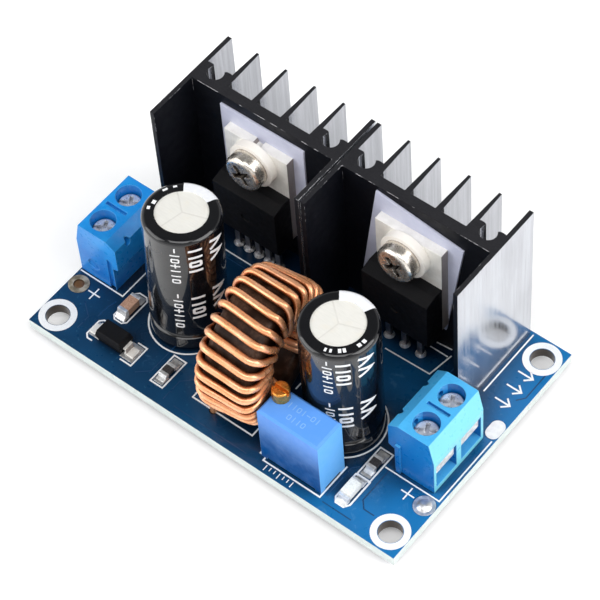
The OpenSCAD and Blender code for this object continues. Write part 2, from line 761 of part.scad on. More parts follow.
module input_capacitor_can() can(can_in_x, can_in_y, can_lean);
module input_capacitor_sleeve() sleeve(can_in_x, can_in_y, can_lean);
module input_capacitor_bung() bung(can_in_x, can_in_y, can_lean);
module input_capacitor_leads() can_leads(can_in_x, can_in_y, can_lean);
module output_capacitor_can() can(can_out_x, can_out_y, 0);
module output_capacitor_sleeve() sleeve(can_out_x, can_out_y, 0);
module output_capacitor_bung() bung(can_out_x, can_out_y, 0);
module output_capacitor_leads() can_leads(can_out_x, can_out_y, 0);

// ---- Inductor ----

module in_coil_frame() {
    translate([coil_x, coil_y, coil_z]) rotate(coil_yaw) children();
}

// Ring of rectangular section with rounded edges, its axis along x
module inductor_core() {
    flat_l = core_l - 2 * core_round;
    ring_t = (core_od - core_id) / 2;
    color([0.16, 0.16, 0.15]) in_coil_frame() rotate([0, 90, 0]) rotate_extrude($fn = 96)
        translate([core_id / 2, -core_l / 2]) {
            translate([0, core_round]) square([ring_t, flat_l]);
            translate([core_round, 0]) square([ring_t - 2 * core_round, core_l]);
            for (r = [core_round, ring_t - core_round]) for (z = [core_round, core_l - core_round])
                translate([r, z]) circle(core_round);
        }
}

module inductor_winding() {
    color([0.8, 0.45, 0.25]) in_coil_frame() swept_wire(WIRE_PATH, wire_r, 8);
}

// ---- Trimmer ----

module trimmer_body() {
    color("dodgerblue") difference() {
        union() {
            translate([trim_x, trim_y, trim_z]) chamfered_box(trim_l, trim_w, trim_h, 0.3);
            for (sx = [-1, 1]) for (sy = [-1, 1])
                translate([trim_x + sx * (trim_l - trim_post) / 2,
                    trim_y + sy * (trim_w - trim_post) / 2, top_z])
                    translate([-trim_post / 2, -trim_post / 2, 0])
                        cube([trim_post, trim_post, trim_foot + eps]);
        }
        translate([trim_screw_x, trim_screw_y, trim_z + trim_h - trim_shank_l - run])
            cylinder(d = trim_shank_d + 2 * run, h = trim_shank_l + 1);
        translate([trim_x, trim_y, trim_z + trim_base_t / 2 - eps]) cube([
            trim_l - 2 * trim_post, trim_w - 2 * trim_wall, trim_base_t + 2 * eps
        ], center = true);
    }
}

// Potting that closes the underside and holds the pins
module trimmer_base() {
    color([0.75, 0.7, 0.6]) difference() {
        translate([trim_x, trim_y, trim_z + trim_base_t / 2]) cube([
            trim_l - 2 * trim_post - 2 * touch, trim_w - 2 * trim_wall - 2 * touch, trim_base_t
        ], center = true);
        for (l = trim_leads) translate([l[0], l[1], 0]) linear_extrude(trim_z + trim_h)
            lead_section(l, touch);
    }
}

module trimmer_screw() {
    slot_w = 0.5;
    color("goldenrod") translate([trim_screw_x, trim_screw_y, trim_z + trim_h + run]) difference() {
        union() {
            domed_cylinder(trim_screw_d / 2, trim_screw_h, 0.25);
            translate([0, 0, -trim_shank_l]) cylinder(d = trim_shank_d, h = trim_shank_l + eps);
        }
        translate([-trim_screw_d, -slot_w / 2, trim_screw_h - 0.7]) cube([2 * trim_screw_d, slot_w, 1]);
    }
}

module trimmer_pins() {
    color("silver") for (l = trim_leads) translate([l[0], l[1], 0])
        linear_extrude(trim_z + trim_base_t) lead_section(l);
}

// ---- Screw terminals ----

// Housing outline seen from its end: wire side on the left, sloped above the entries
module term_profile() {
    notch = 0.9;
    polygon([
        [0, 0], [0, 0.65 * term_h], [top_front, term_h], [top_back, term_h],
        [term_d, term_h - 1], [term_d, 0.5 * term_h], [term_d - notch, 0.46 * term_h],
        [term_d - notch, 0]
    ]);
}

module term_housing() {
    rib_x = term_d - 1.9;
    rib_w = 0.7;
    rib_d = 0.3;
    groove_w = 0.5;
    color("deepskyblue") difference() {
        union() {
            translate([0, term_l / 2, 0]) rotate([90, 0, 0]) linear_extrude(term_l) term_profile();
            translate([rib_x, term_l / 2 - eps, 0]) cube([rib_w, rib_d + eps, 0.6 * term_h]);
        }
        for (v = fan(2, term_pitch)) translate([0, v, 0]) {
            translate([well_x, 0, head_z]) cylinder(d = well_d, h = term_h);
            translate([well_x, 0, ceiling_z - eps])
                cylinder(d = clamp_screw_d + 2 * run, h = ledge_t + 2 * eps);
            translate([-eps, -entry_w / 2, entry_floor])
                cube([chamber_back, entry_w, entry_top - entry_floor]);
            translate([chamber_front, -entry_w / 2, entry_floor])
                cube([chamber_back - chamber_front, entry_w, ceiling_z - entry_floor]);
            translate([pin_x - pin_t / 2 - touch, -pin_w / 2 - touch, -1])
                cube([pin_t + 2 * touch, pin_w + 2 * touch, entry_floor + 2]);
            translate([well_x, 0, term_h - 1.4]) rotate([0, 90, 0])
                scale([1.4, 1, 1]) cylinder(d = 1, h = term_d);
        }
        translate([well_x - 1.6, -groove_w / 2, term_h - 0.6]) cube([3.4, groove_w, 1]);
        translate([rib_x, -term_l / 2 - eps, -1]) cube([rib_w + 0.2, rib_d + eps, 0.6 * term_h + 1]);
        translate([0.36 * term_d, -term_l / 2 + 0.15, 0.28 * term_h]) rotate([90, 0, 0])
            cylinder(d = 1.9, h = 1);
    }
}

// Bent contact: the strip that the wire is pressed against, its front apron and the board pin
module term_contact() {
    color("gainsboro") {
        translate([apron_x, -strip_w / 2, strip_z]) cube([pin_x + pin_t / 2 - apron_x, strip_w, strip_t]);
        translate([apron_x, -cage_w / 2, strip_z]) cube([apron_t, cage_w, apron_z]);
        translate([pin_x - pin_t / 2, -pin_w / 2, -top_z]) cube([pin_t, pin_w, top_z + strip_z + eps]);
    }
}

// Cage that the screw draws up: it surrounds the contact strip and carries the thread on top
module term_clamp() {
    color("silver") difference() {
        translate([cage_x, -cage_w / 2, cage_z]) cube([cage_l, cage_w, cage_h]);
        translate([cage_x - 1, -cage_w / 2 + cage_wall, cage_z + jaw_t])
            cube([cage_l + 2, cage_w - 2 * cage_wall, window_h]);
        translate([well_x, 0, cage_z + jaw_t]) cylinder(d = clamp_screw_d + 2 * run, h = cage_h);
    }
}

module term_screw() {
    tip_z = strip_z + strip_t + run;
    color("gainsboro") difference() {
        union() {
            translate([well_x, 0, head_z + touch]) domed_cylinder(clamp_head_d / 2, clamp_head_h, 0.3);
            translate([well_x, 0, tip_z]) cylinder(d = clamp_screw_d, h = head_z + touch - tip_z + eps);
        }
        translate([well_x, 0, head_z + touch + clamp_head_h]) rotate(25)
            cross_recess(0.55, 0.7 * clamp_head_d, 0.7);
        translate([well_x, 0, head_z + touch + clamp_head_h]) rotate(25)
            translate([-clamp_head_d, -0.2, -0.45]) cube([2 * clamp_head_d, 0.4, 1]);
    }
}

module at_input(v = 0) {
    translate([term_in_x, term_y + v, top_z]) children();
}

module at_output(v = 0) {
    translate([term_out_x, term_y + v, top_z]) rotate(180) children();
}

way = term_pitch / 2;
module input_terminal_housing() at_input() term_housing();
module input_terminal_contacts() for (v = [-way, way]) at_input(v) term_contact();
module input_screw_plus() at_input(-way) term_screw();
module input_screw_minus() at_input(way) term_screw();
module input_clamp_plus() at_input(-way) term_clamp();
module input_clamp_minus() at_input(way) term_clamp();
module output_terminal_housing() at_output() term_housing();
module output_terminal_contacts() for (v = [-way, way]) at_output(v) term_contact();
module output_screw_plus() at_output(-way) term_screw();
module output_screw_minus() at_output(way) term_screw();
module output_clamp_plus() at_output(-way) term_clamp();
module output_clamp_minus() at_output(way) term_clamp();

// ---- Small soldered parts ----

module small_diode_body() {
    draft = 0.25;
    color([0.12, 0.12, 0.12]) translate([sma_pos[0], sma_pos[1], top_z + seat])
        intersection() {
            translate([0, sma_w / 2, 0]) rotate([90, 0, 0]) linear_extrude(sma_w) polygon([
                [-sma_l / 2 + draft, 0], [-sma_l / 2, sma_h / 2], [-sma_l / 2 + draft, sma_h],
                [sma_l / 2 - draft, sma_h], [sma_l / 2, sma_h / 2], [sma_l / 2 - draft, 0]
            ]);
            translate([-sma_l / 2, 0, 0]) rotate([90, 0, 90]) linear_extrude(sma_l) polygon([
                [-sma_w / 2 + draft, 0], [-sma_w / 2, sma_h / 2], [-sma_w / 2 + draft, sma_h],
                [sma_w / 2 - draft, sma_h], [sma_w / 2, sma_h / 2], [sma_w / 2 - draft, 0]
            ]);
        }
}

// Bent end leads: up the end of the body to its middle, with a soldered foot
module small_diode_tabs() {
    stand = (sma_span - sma_l) / 2;
    pad_l = 1.1;
    color("silver") for (s = [0, 180]) translate([sma_pos[0], sma_pos[1], top_z]) rotate(s)
        translate([sma_l / 2 + touch, -sma_tab_w / 2, 0]) {
            translate([stand - sma_tab_t, 0, 0]) cube([sma_tab_t, sma_tab_w, sma_h / 2 + seat]);
            translate([0, 0, sma_h / 2 + seat - sma_tab_t]) cube([stand, sma_tab_w, sma_tab_t]);
            translate([0, 0, 0]) cube([stand + pad_l, sma_tab_w, sma_tab_t]);
        }
}

// Middle of a chip part, its long side along y
module chip_middle(pos, l, w, h, end) {
    translate([pos[0] - w / 2, pos[1] - l / 2 + end + touch, top_z + seat])
        cube([w, l - 2 * end - 2 * touch, h]);
}

// Two soldered ends of a chip part, each a cap with a sloped fillet down to its pad
module chip_ends(pos, l, w, h, end) {
    run_out = 0.7;
    for (s = [0, 180]) translate([pos[0], pos[1], top_z]) rotate(s)
        translate([-w / 2, 0, 0]) rotate([90, 0, 90]) linear_extrude(w) polygon([
            [l / 2 - end, 0], [l / 2 - end, seat + h], [l / 2, seat + h],
            [l / 2 + 0.3 * run_out, 0.4 * h], [l / 2 + run_out, 0.08], [l / 2 + run_out, 0]
        ]);
}

module ceramic_capacitor_body() {
    color([0.7, 0.5, 0.38]) chip_middle(ceramic_pos, ceramic_l, ceramic_w, ceramic_h, chip_end);
}
module ceramic_capacitor_ends() {
    color("silver") chip_ends(ceramic_pos, ceramic_l, ceramic_w, ceramic_h, chip_end);
}
module chip_resistor_bodies() {
    color([0.1, 0.1, 0.1]) for (p = [chip_in_pos, chip_out_pos])
        chip_middle(p, chip_l, chip_w, chip_h, chip_end);
}
module chip_resistor_ends() {
    color("silver") for (p = [chip_in_pos, chip_out_pos]) chip_ends(p, chip_l, chip_w, chip_h, chip_end);
}
module indicator_body() {
    color("ivory") chip_middle(led_pos, led_l, led_w, led_h, chip_end);
}
module indicator_ends() {
    color("silver") chip_ends(led_pos, led_l, led_w, 0.7 * led_h, chip_end);
}

// ---- Output ----

circuit_board();
test_pads();
solder_joints();
heatsink_input();
heatsink_output();
insulating_pad_input();
insulating_pad_output();
bushing_input();
bushing_output();
device_screw_input();
device_screw_output();
regulator_body();
regulator_tab();
regulator_leads();
rectifier_body();
rectifier_tab();
rectifier_leads();
input_capacitor_can();
input_capacitor_sleeve();
input_capacitor_bung();
input_capacitor_leads();
output_capacitor_can();
output_capacitor_sleeve();
output_capacitor_bung();
output_capacitor_leads();
inductor_core();
inductor_winding();
trimmer_body();
trimmer_base();
trimmer_screw();
trimmer_pins();
input_terminal_housing();
input_terminal_contacts();
input_screw_minus();
input_screw_plus();
input_clamp_minus();
input_clamp_plus();
output_terminal_housing();
output_terminal_contacts();
output_screw_minus();
output_screw_plus();
output_clamp_minus();
output_clamp_plus();
small_diode_body();
small_diode_tabs();
ceramic_capacitor_body();
ceramic_capacitor_ends();
chip_resistor_bodies();
chip_resistor_ends();
indicator_body();
indicator_ends();
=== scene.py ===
"""Looks of a step-down converter module: materials, printing, a smooth winding, light and camera.

Lengths in the tables and in the materials are millimetres; meshes and places are metres.
"""
import math
from functools import partial

import bpy
import numpy as np
from mathutils import Matrix, Vector


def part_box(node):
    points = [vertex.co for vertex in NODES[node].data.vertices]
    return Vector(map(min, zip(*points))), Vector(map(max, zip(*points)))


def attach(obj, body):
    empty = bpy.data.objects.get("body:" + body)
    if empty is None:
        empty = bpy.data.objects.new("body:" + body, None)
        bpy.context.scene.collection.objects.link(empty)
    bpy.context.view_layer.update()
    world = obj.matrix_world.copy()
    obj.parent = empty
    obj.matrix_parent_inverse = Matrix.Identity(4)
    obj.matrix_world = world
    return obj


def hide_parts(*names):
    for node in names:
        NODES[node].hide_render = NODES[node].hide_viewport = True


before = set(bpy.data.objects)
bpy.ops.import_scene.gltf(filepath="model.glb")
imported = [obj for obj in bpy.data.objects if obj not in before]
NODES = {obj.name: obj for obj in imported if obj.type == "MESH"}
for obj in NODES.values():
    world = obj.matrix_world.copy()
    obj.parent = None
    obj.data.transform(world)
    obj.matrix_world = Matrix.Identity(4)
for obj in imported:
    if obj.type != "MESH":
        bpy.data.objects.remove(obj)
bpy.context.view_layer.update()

MM = 0.001
ENDS = ("input", "output")
SIGNS = ("plus", "minus")


def low(node):
    """Lowest corner of a node in millimetres."""
    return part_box(node)[0] / MM


def high(node):
    """Highest corner of a node in millimetres."""
    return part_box(node)[1] / MM


def middle(node):
    """Centre of a node's box in millimetres."""
    return (low(node) + high(node)) / 2


BOARD_LOW, BOARD_HIGH = low("circuit_board"), high("circuit_board")
TOP = BOARD_HIGH.z
BASE_Y = high("insulating_pad_input").y  # front face of the heat sinks' base plates
CAN_LEAN = {"input": math.radians(3.2), "output": 0.0}  # towards the heat sinks

# Coil: the core's two radii, half length and rounded edges, the wire and the film between them.
CORE_R, BORE_R, CORE_HALF, CORE_ROUND = 8.75, 5.0, 3.5, 0.9
WIRE_R, WRAP = 0.5, 0.1
COIL, YAW = middle("inductor_core"), math.radians(8)
CORE_MID_R, CORE_THICK = (CORE_R + BORE_R) / 2, CORE_R - BORE_R

FACING = 0.6  # a face looks along an axis when its normal's part on that axis is more than this
SKIN = 0.1  # a point this near to a box's side is on that side
MOULD_EDGE = 0.14  # radius of the rounded edges of moulded plastic, which carry a painted highlight


# ---- Materials ----

class Look:
    """One procedural material, with short calls that add its nodes.

    A value is a number, a colour of three numbers or a node's output. The point that textures
    read is the place on the object in millimetres.
    """

    def __init__(self, name, **constants):
        """Starts from the standard shader; constants set its sockets, with _ for a space."""
        self.material = bpy.data.materials.new(name)
        self.material.use_nodes = True
        self.tree = self.material.node_tree
        self.shader = self.tree.nodes["Principled BSDF"]
        place = self.add("ShaderNodeTexCoord").outputs["Object"]
        self.point = self.vector("SCALE", place, scale=1 / MM)
        self.x, self.y, self.z = self.split(self.point)
        self.normal = self.add("ShaderNodeNewGeometry").outputs["Normal"]
        self.nx, self.ny, self.nz = self.split(self.normal)
        for socket, value in constants.items():
            self.shader.inputs[socket.replace("_", " ")].default_value = value

    def add(self, kind, **settings):
        """New node with its settings."""
        node = self.tree.nodes.new(kind)
        for key, value in settings.items():
            setattr(node, key, value)
        return node

    def put(self, socket, value):
        """Links an output to a socket, or sets the socket's own value."""
        if isinstance(value, bpy.types.NodeSocket):
            self.tree.links.new(value, socket)
        elif isinstance(value, (tuple, list)) and len(value) < len(socket.default_value):
            socket.default_value = (*value, 1)
        else:
            socket.default_value = value

    def split(self, value):
        """Three parts of a vector."""
        node = self.add("ShaderNodeSeparateXYZ")
        self.put(node.inputs[0], value)
        return node.outputs

    def vector(self, operation, a, b=None, scale=None):
        """Operation on vectors."""
        node = self.add("ShaderNodeVectorMath", operation=operation)
        self.put(node.inputs[0], a)
        if b is not None:
            self.put(node.inputs[1], b)
        if scale is not None:
            node.inputs["Scale"].default_value = scale
        return node.outputs["Value" if operation == "DOT_PRODUCT" else "Vector"]

    def math(self, operation, a, b=0.0, clamp=False):
        """Operation on numbers."""
        node = self.add("ShaderNodeMath", operation=operation, use_clamp=clamp)
        self.put(node.inputs[0], a)
        self.put(node.inputs[1], b)
        return node.outputs[0]

    def plus(self, a, b):
        """a + b."""
        return self.math("ADD", a, b)

    def minus(self, a, b):
        """a - b."""
        return self.math("SUBTRACT", a, b)

    def size(self, a):
        """a without its sign."""
        return self.math("ABSOLUTE", a)

    def both(self, *values):
        """Product of several masks or numbers."""
        result = values[0]
        for value in values[1:]:
            result = self.math("MULTIPLY", result, value)
        return result

    def either(self, a, b):
        """The larger of a and b."""
        return self.math("MAXIMUM", a, b)

    def less(self, a, b):
        """1 where a is below b, otherwise 0."""
        return self.math("LESS_THAN", a, b)

    def more(self, a, b):
        """1 where a is above b, otherwise 0."""
        return self.math("GREATER_THAN", a, b)

    def length(self, a, b):
        """Square root of a squared plus b squared."""
        return self.math("SQRT", self.plus(self.both(a, a), self.both(b, b)))

    def turned(self, x, y, angle):
        """x cos + y sin and y cos - x sin: the point (x, y) along and across a direction."""
        c, s = math.cos(angle), math.sin(angle)
        return (self.plus(self.both(x, c), self.both(y, s)),
                self.minus(self.both(y, c), self.both(x, s)))

    def ramp(self, value, start, end, low_value=0.0, high_value=1.0):
        """Value moved from the range start to end into the range low to high, and held there."""
        node = self.add("ShaderNodeMapRange", interpolation_type="SMOOTHSTEP")
        for socket, number in zip(node.inputs, (value, start, end, low_value, high_value)):
            self.put(socket, number)
        return node.outputs[0]

    def between(self, grain, low_value, high_value):
        """Value from low to high that follows the middle of a noise's range."""
        return self.ramp(grain, 0.3, 0.7, low_value, high_value)

    def noise(self, size, detail=3, stretch=(1, 1, 1), distortion=0.0):
        """Noise with lumps of about size millimetres, longer along an axis of small stretch."""
        scaled = self.vector("MULTIPLY", self.point, stretch)
        node = self.add("ShaderNodeTexNoise")
        self.put(node.inputs["Vector"], scaled)
        node.inputs["Scale"].default_value = 1 / size
        node.inputs["Detail"].default_value = detail
        node.inputs["Distortion"].default_value = distortion
        return node.outputs["Fac"]

    def mix(self, share, a, b):
        """Colour a where share is 0, colour b where it is 1."""
        node = self.add("ShaderNodeMix", data_type="RGBA")
        self.put(node.inputs["Factor"], share)
        self.put(node.inputs["A"], a)
        self.put(node.inputs["B"], b)
        return node.outputs["Result"]

    def rounded(self, radius):
        """Normal with the edges rounded by a radius in millimetres."""
        node = self.add("ShaderNodeBevel", samples=6)
        node.inputs["Radius"].default_value = radius * MM
        return node.outputs[0]

    def edges(self, radius, strength):
        """1 on the object's edges and 0 on its faces."""
        along = self.vector("DOT_PRODUCT", self.rounded(radius), self.normal)
        return self.math("MULTIPLY", self.minus(1.0, along), strength, clamp=True)

    def shadowed(self, reach, samples):
        """1 in the open and 0 deep in crevices, with a reach in millimetres."""
        node = self.add("ShaderNodeAmbientOcclusion", samples=samples)
        node.inputs["Distance"].default_value = reach * MM
        return node.outputs["AO"]

    def colour(self, value):
        """Sets the base colour."""
        self.put(self.shader.inputs["Base Color"], value)
        return self

    def rough(self, value):
        """Sets the roughness."""
        self.put(self.shader.inputs["Roughness"], value)
        return self

    def metal(self, value):
        """Sets how metallic it is."""
        self.put(self.shader.inputs["Metallic"], value)
        return self

    def relief(self, height, depth, edge=0.0):
        """Bump of a depth in millimetres, over edges rounded by a radius."""
        node = self.add("ShaderNodeBump")
        node.inputs["Distance"].default_value = depth * MM
        self.put(node.inputs["Height"], height)
        if edge:
            self.put(node.inputs["Normal"], self.rounded(edge))
        self.put(self.shader.inputs["Normal"], node.outputs[0])
        return self


def board_look():
    """Blue solder mask over copper, painted brighter to the right as painted light and darker under
    the parts as painted shade, with clouds, specks and patches of residue; its edge is pale layered
    fibreglass and its holes are dark."""
    look = Look("board_mask", Coat_Weight=0.28, Coat_Roughness=0.10, Specular_IOR_Level=0.22)
    # Painted light: the blue is painted brighter towards the right.
    painted_dim_x, painted_bright_x = -14, 28
    right = look.ramp(look.x, painted_dim_x, painted_bright_x)
    blue = look.mix(right, (0.002, 0.036, 0.098), (0.009, 0.158, 0.410))
    cloud = look.ramp(look.noise(7, 4), 0.35, 0.7)
    blue = look.mix(look.both(cloud, 0.3), blue, (0.006, 0.100, 0.260))
    speck = look.ramp(look.noise(0.5, 2), 0.66, 0.74)
    blue = look.mix(look.both(speck, 0.22), blue, (0.05, 0.20, 0.36))
    film = look.ramp(look.noise(1.3, 5, distortion=1.2), 0.56, 0.72)
    residue = look.both(film, look.ramp(look.noise(8), 0.48, 0.62))
    blue = look.mix(look.both(residue, 0.35), blue, (0.10, 0.28, 0.50))
    # Painted shade: the blue is painted darker where the parts crowd over it.
    lit = look.ramp(look.shadowed(9.0, 12), 0.30, 0.92)
    blue = look.mix(lit, (0.0012, 0.0080, 0.0220), blue)
    side = look.less(look.size(look.nz), 0.5)
    layers = look.noise(0.25, 2, (0.1, 0.1, 1))
    glass = look.mix(layers, (0.46, 0.53, 0.51), (0.74, 0.80, 0.78))
    hole_wall = look.mix(layers, (0.020, 0.014, 0.010), (0.085, 0.065, 0.050))
    inside = look.both(look.less(look.size(look.x), BOARD_HIGH.x - SKIN),
                       look.less(look.size(look.y), BOARD_HIGH.y - SKIN))
    look.colour(look.mix(side, blue, look.mix(inside, glass, hole_wall)))
    look.rough(look.between(look.noise(3), 0.26, 0.40))
    return look.relief(look.noise(1.2, 4), 0.012, 0.1)


def track_look():
    """Solder mask over the edges of the copper, a little darker than the board."""
    look = Look("board_track", Coat_Weight=0.5, Coat_Roughness=0.15)
    look.colour(look.mix(look.noise(4), (0.003, 0.030, 0.090), (0.004, 0.055, 0.160)))
    return look.rough(look.between(look.noise(2), 0.25, 0.4)).relief(look.noise(0.8), 0.01)


def print_look(name, shade):
    """Screen printing ink, slightly uneven."""
    look = Look(name)
    grain = look.noise(0.25, 3)
    worn = look.ramp(look.noise(0.12, 2), 0.30, 0.42)
    dull = tuple(0.78 * c for c in shade)
    look.colour(look.mix(look.both(worn, look.ramp(grain, 0.2, 0.5, 0.8, 1)), dull, shade))
    return look.rough(look.between(grain, 0.4, 0.6)).relief(grain, 0.004)


def solder_look(name, tone, roughness, lumps=0.008, metal=0.95):
    """Tin, solder or plated metal: bright with a soft grain."""
    look = Look(name)
    patch = look.ramp(look.noise(0.7, 4), 0.35, 0.65)
    look.colour(look.mix(patch, tuple(0.72 * c for c in tone), tone)).metal(metal)
    look.rough(look.between(look.noise(0.4, 3), roughness, roughness + 0.18))
    return look.relief(look.noise(0.5, 4), lumps, 0.08)


def screw_look():
    """Plated screw, warm and bright on its head, with painted shade, dark brown, in its recess and
    its corners.
    """
    look = Look("screw_plating", Metallic=0.9)
    patch = look.ramp(look.noise(0.9, 3), 0.35, 0.65)
    shade = look.mix(patch, (0.66, 0.60, 0.53), (0.94, 0.89, 0.81))
    # Painted shade: darker towards the recess and the corners.
    deep = look.ramp(look.shadowed(1.0, 12), 0.30, 0.78)
    look.colour(look.mix(deep, (0.060, 0.030, 0.024), shade))
    look.rough(look.between(look.noise(0.6, 2), 0.20, 0.32))
    return look.relief(look.noise(0.8, 2), 0.004, 0.08)


def well_screw_look():
    """Terminal screw down in its well, pale, with painted shade, only a little darker, in its
    cross.
    """
    look = Look("well_screw", Metallic=0.55)
    patch = look.ramp(look.noise(0.7, 3), 0.35, 0.65)
    # Painted shade: a darker bluish grey in the cross.
    deep = look.ramp(look.shadowed(0.7, 12), 0.20, 0.60)
    shade = look.mix(patch, (0.80, 0.81, 0.84), (0.97, 0.97, 0.97))
    look.colour(look.mix(deep, (0.34, 0.36, 0.42), shade))
    look.rough(look.between(look.noise(0.5, 2), 0.26, 0.40))
    return look.relief(look.noise(0.8, 2), 0.004, 0.08)


def test_pad_look():
    """Tinned test pads: the input one dull and tan, the one beside the output terminal whitest."""
    look = Look("test_pad")
    patch = look.ramp(look.noise(0.8, 4), 0.35, 0.65)
    plain = look.mix(patch, (0.60, 0.60, 0.61), (0.86, 0.86, 0.87))
    white = look.mix(patch, (0.86, 0.86, 0.86), (0.95, 0.95, 0.95))
    tan = look.mix(patch, (0.20, 0.17, 0.12), (0.46, 0.41, 0.32))
    input_side, behind = look.less(look.x, 0), look.more(look.y, 0)
    look.colour(look.mix(input_side, look.mix(behind, plain, white), tan))
    look.metal(look.ramp(look.either(input_side, behind), 0, 1, 0.8, 0.3))
    look.rough(look.ramp(patch, 0, 1, 0.30, 0.45))
    return look.relief(look.noise(0.6, 3), 0.008, 0.08)


def heatsink_look(end):
    """Black extrusion, sawn on top and chipped along its upper front edges; the faces of its fins
    and its outer walls carry a painted silver sheen, lighter on the outer walls, with upright
    streaks and tarnish."""
    look = Look("heatsink_" + end, Specular_IOR_Level=0.16)
    box_low, box_high = low("heatsink_" + end), high("heatsink_" + end)
    half_width = (box_high.x - box_low.x) / 2
    base_back, chips_from = BASE_Y + 2.2, TOP + 22
    beside = look.size(look.minus(look.x, middle("heatsink_" + end).x))
    flank = look.more(look.size(look.nx), FACING)
    outer = look.more(beside, half_width - SKIN)
    # Painted sheen: the fins' side faces behind the base and the outer walls are painted silver.
    bright = look.both(flank, look.either(look.more(look.y, base_back), outer))
    streak = look.noise(0.5, 5, (1, 1, 0.03))
    fine = look.noise(0.16, 2, (1, 1, 0.02))
    tarnish = look.ramp(look.noise(5, 4, (1, 1, 0.5)), 0.4, 0.7)
    band = look.between(streak, 0.0, 1.0)
    silver = look.mix(band, (0.40, 0.41, 0.44), (0.52, 0.53, 0.57))
    # Painted shade: the fins are painted a darker silver than the outer walls.
    silver = look.mix(outer, silver, look.mix(band, (0.55, 0.56, 0.60), (0.64, 0.66, 0.70)))
    silver = look.mix(look.both(look.ramp(fine, 0.60, 0.70), 0.3), silver, (0.30, 0.30, 0.33))
    silver = look.mix(look.both(tarnish, 0.25), silver, (0.36, 0.37, 0.40))
    scuff = look.ramp(look.noise(0.35, 3, (1, 1, 0.3)), 0.68, 0.76)
    black = look.mix(look.both(scuff, 0.3), (0.003, 0.0035, 0.006), (0.04, 0.04, 0.05))
    sawn = look.mix(look.noise(0.3, 3, (1, 6, 1)), (0.006, 0.006, 0.008), (0.030, 0.030, 0.034))
    black = look.mix(look.more(look.nz, FACING), black, sawn)
    worn = look.both(look.edges(0.12, 5), look.ramp(look.noise(1.1, 3), 0.50, 0.60))
    worn = look.both(worn, look.less(look.y, BASE_Y + 0.5), look.more(look.z, chips_from))
    look.colour(look.mix(worn, look.mix(bright, black, silver), (0.75, 0.75, 0.78)))
    look.metal(look.either(look.both(bright, 0.9), worn))
    dull, shiny = look.between(look.noise(1.5), 0.38, 0.52), look.between(streak, 0.12, 0.20)
    look.rough(look.ramp(bright, 0, 1, dull, shiny))
    return look.relief(look.plus(look.both(streak, 0.6), look.both(fine, 0.4)), 0.006, 0.08)


def plastic_look(name, tone, roughness, pale=None, shine=0.5):
    """Moulded plastic with faint flow marks, a painted highlight on its edges and a fine texture.
    """
    look = Look(name, Specular_IOR_Level=shine)
    flow = look.ramp(look.noise(2.5, 4), 0.35, 0.7)
    light = pale or tuple(min(1.0, 1.6 * c + 0.01) for c in tone)
    shade = look.mix(look.both(flow, 0.3), tone, light)
    # Painted highlight on the edges.
    shade = look.mix(look.both(look.edges(MOULD_EDGE, 3), 0.6), shade, light)
    look.colour(shade).rough(look.between(look.noise(0.8), roughness, roughness + 0.14))
    return look.relief(look.noise(0.22, 3), 0.008, MOULD_EDGE)


def tab_look():
    """Tinned tab of a power device with fine drawn lines, and brown on the cut edge that faces the
    output."""
    look = Look("device_tab")
    lines, patch = look.noise(0.12, 3, (1, 1, 0.05)), look.ramp(look.noise(1.6, 3), 0.35, 0.7)
    shade = look.mix(patch, (0.86, 0.84, 0.79), (0.98, 0.96, 0.91))
    shade = look.mix(look.both(look.ramp(lines, 0.55, 0.7), 0.25), shade, (0.62, 0.60, 0.56))
    shade = look.mix(look.both(look.more(look.nx, FACING), 0.8), shade, (0.16, 0.12, 0.11))
    look.colour(shade).metal(0.30).rough(look.between(lines, 0.34, 0.50))
    return look.relief(lines, 0.006, 0.12)


def can_top_look(end):
    """Bare aluminium lid with three shallow scores that meet in its middle, a third of a turn
    apart; a leaning can's middle lies further on by its height times the lean's tangent."""
    look = Look("can_metal_" + end)
    base, top = middle(end + "_capacitor_bung"), high(end + "_capacitor_can")
    across = look.minus(look.x, base.x)
    along = look.minus(look.y, base.y + (top.z - TOP) * math.tan(CAN_LEAN[end]))
    scores = 0.0
    for degrees in (20, 140, 260):
        ahead, beside = look.turned(across, along, math.radians(degrees))
        line = look.both(look.ramp(look.size(beside), 0.05, 0.14, 1, 0), look.more(ahead, 0))
        scores = look.either(scores, line)
    rolled = look.noise(0.2, 3, (0.15, 1, 1))
    shade = look.mix(rolled, (0.78, 0.77, 0.72), (0.90, 0.89, 0.84))
    stain = look.ramp(look.noise(1.8, 4), 0.52, 0.75)
    shade = look.mix(look.both(stain, 0.5), shade, (0.84, 0.80, 0.71))
    look.colour(look.mix(look.both(scores, 0.30), shade, (0.55, 0.52, 0.48))).metal(0.25)
    look.rough(look.between(rolled, 0.40, 0.55))
    return look.relief(look.minus(look.both(rolled, 0.2), scores), 0.015)


def sleeve_look(end):
    """Shrunk black film with one white stripe down the can, between two angles about its axis."""
    look = Look("sleeve_" + end, Coat_Weight=1.0, Coat_Roughness=0.04, Coat_IOR=1.5,
                Specular_IOR_Level=0.15)
    base = middle(end + "_capacitor_bung")
    lean = look.both(look.minus(look.z, TOP), math.tan(CAN_LEAN[end]))
    across, along = look.minus(look.x, base.x), look.minus(look.minus(look.y, base.y), lean)
    turn = look.math("ARCTAN2", along, across)
    stripe = look.both(look.more(turn, math.radians(64)), look.less(turn, math.radians(127)))
    film = look.mix(look.noise(3, 3), (0.002, 0.0022, 0.003), (0.005, 0.0055, 0.0075))
    paint = look.mix(look.noise(0.4, 3), (0.72, 0.74, 0.78), (0.88, 0.89, 0.92))
    look.colour(look.mix(stripe, film, paint))
    look.rough(look.between(look.noise(2, 3), 0.16, 0.28))
    return look.relief(look.noise(1.8, 3, (1, 1, 0.35)), 0.018)


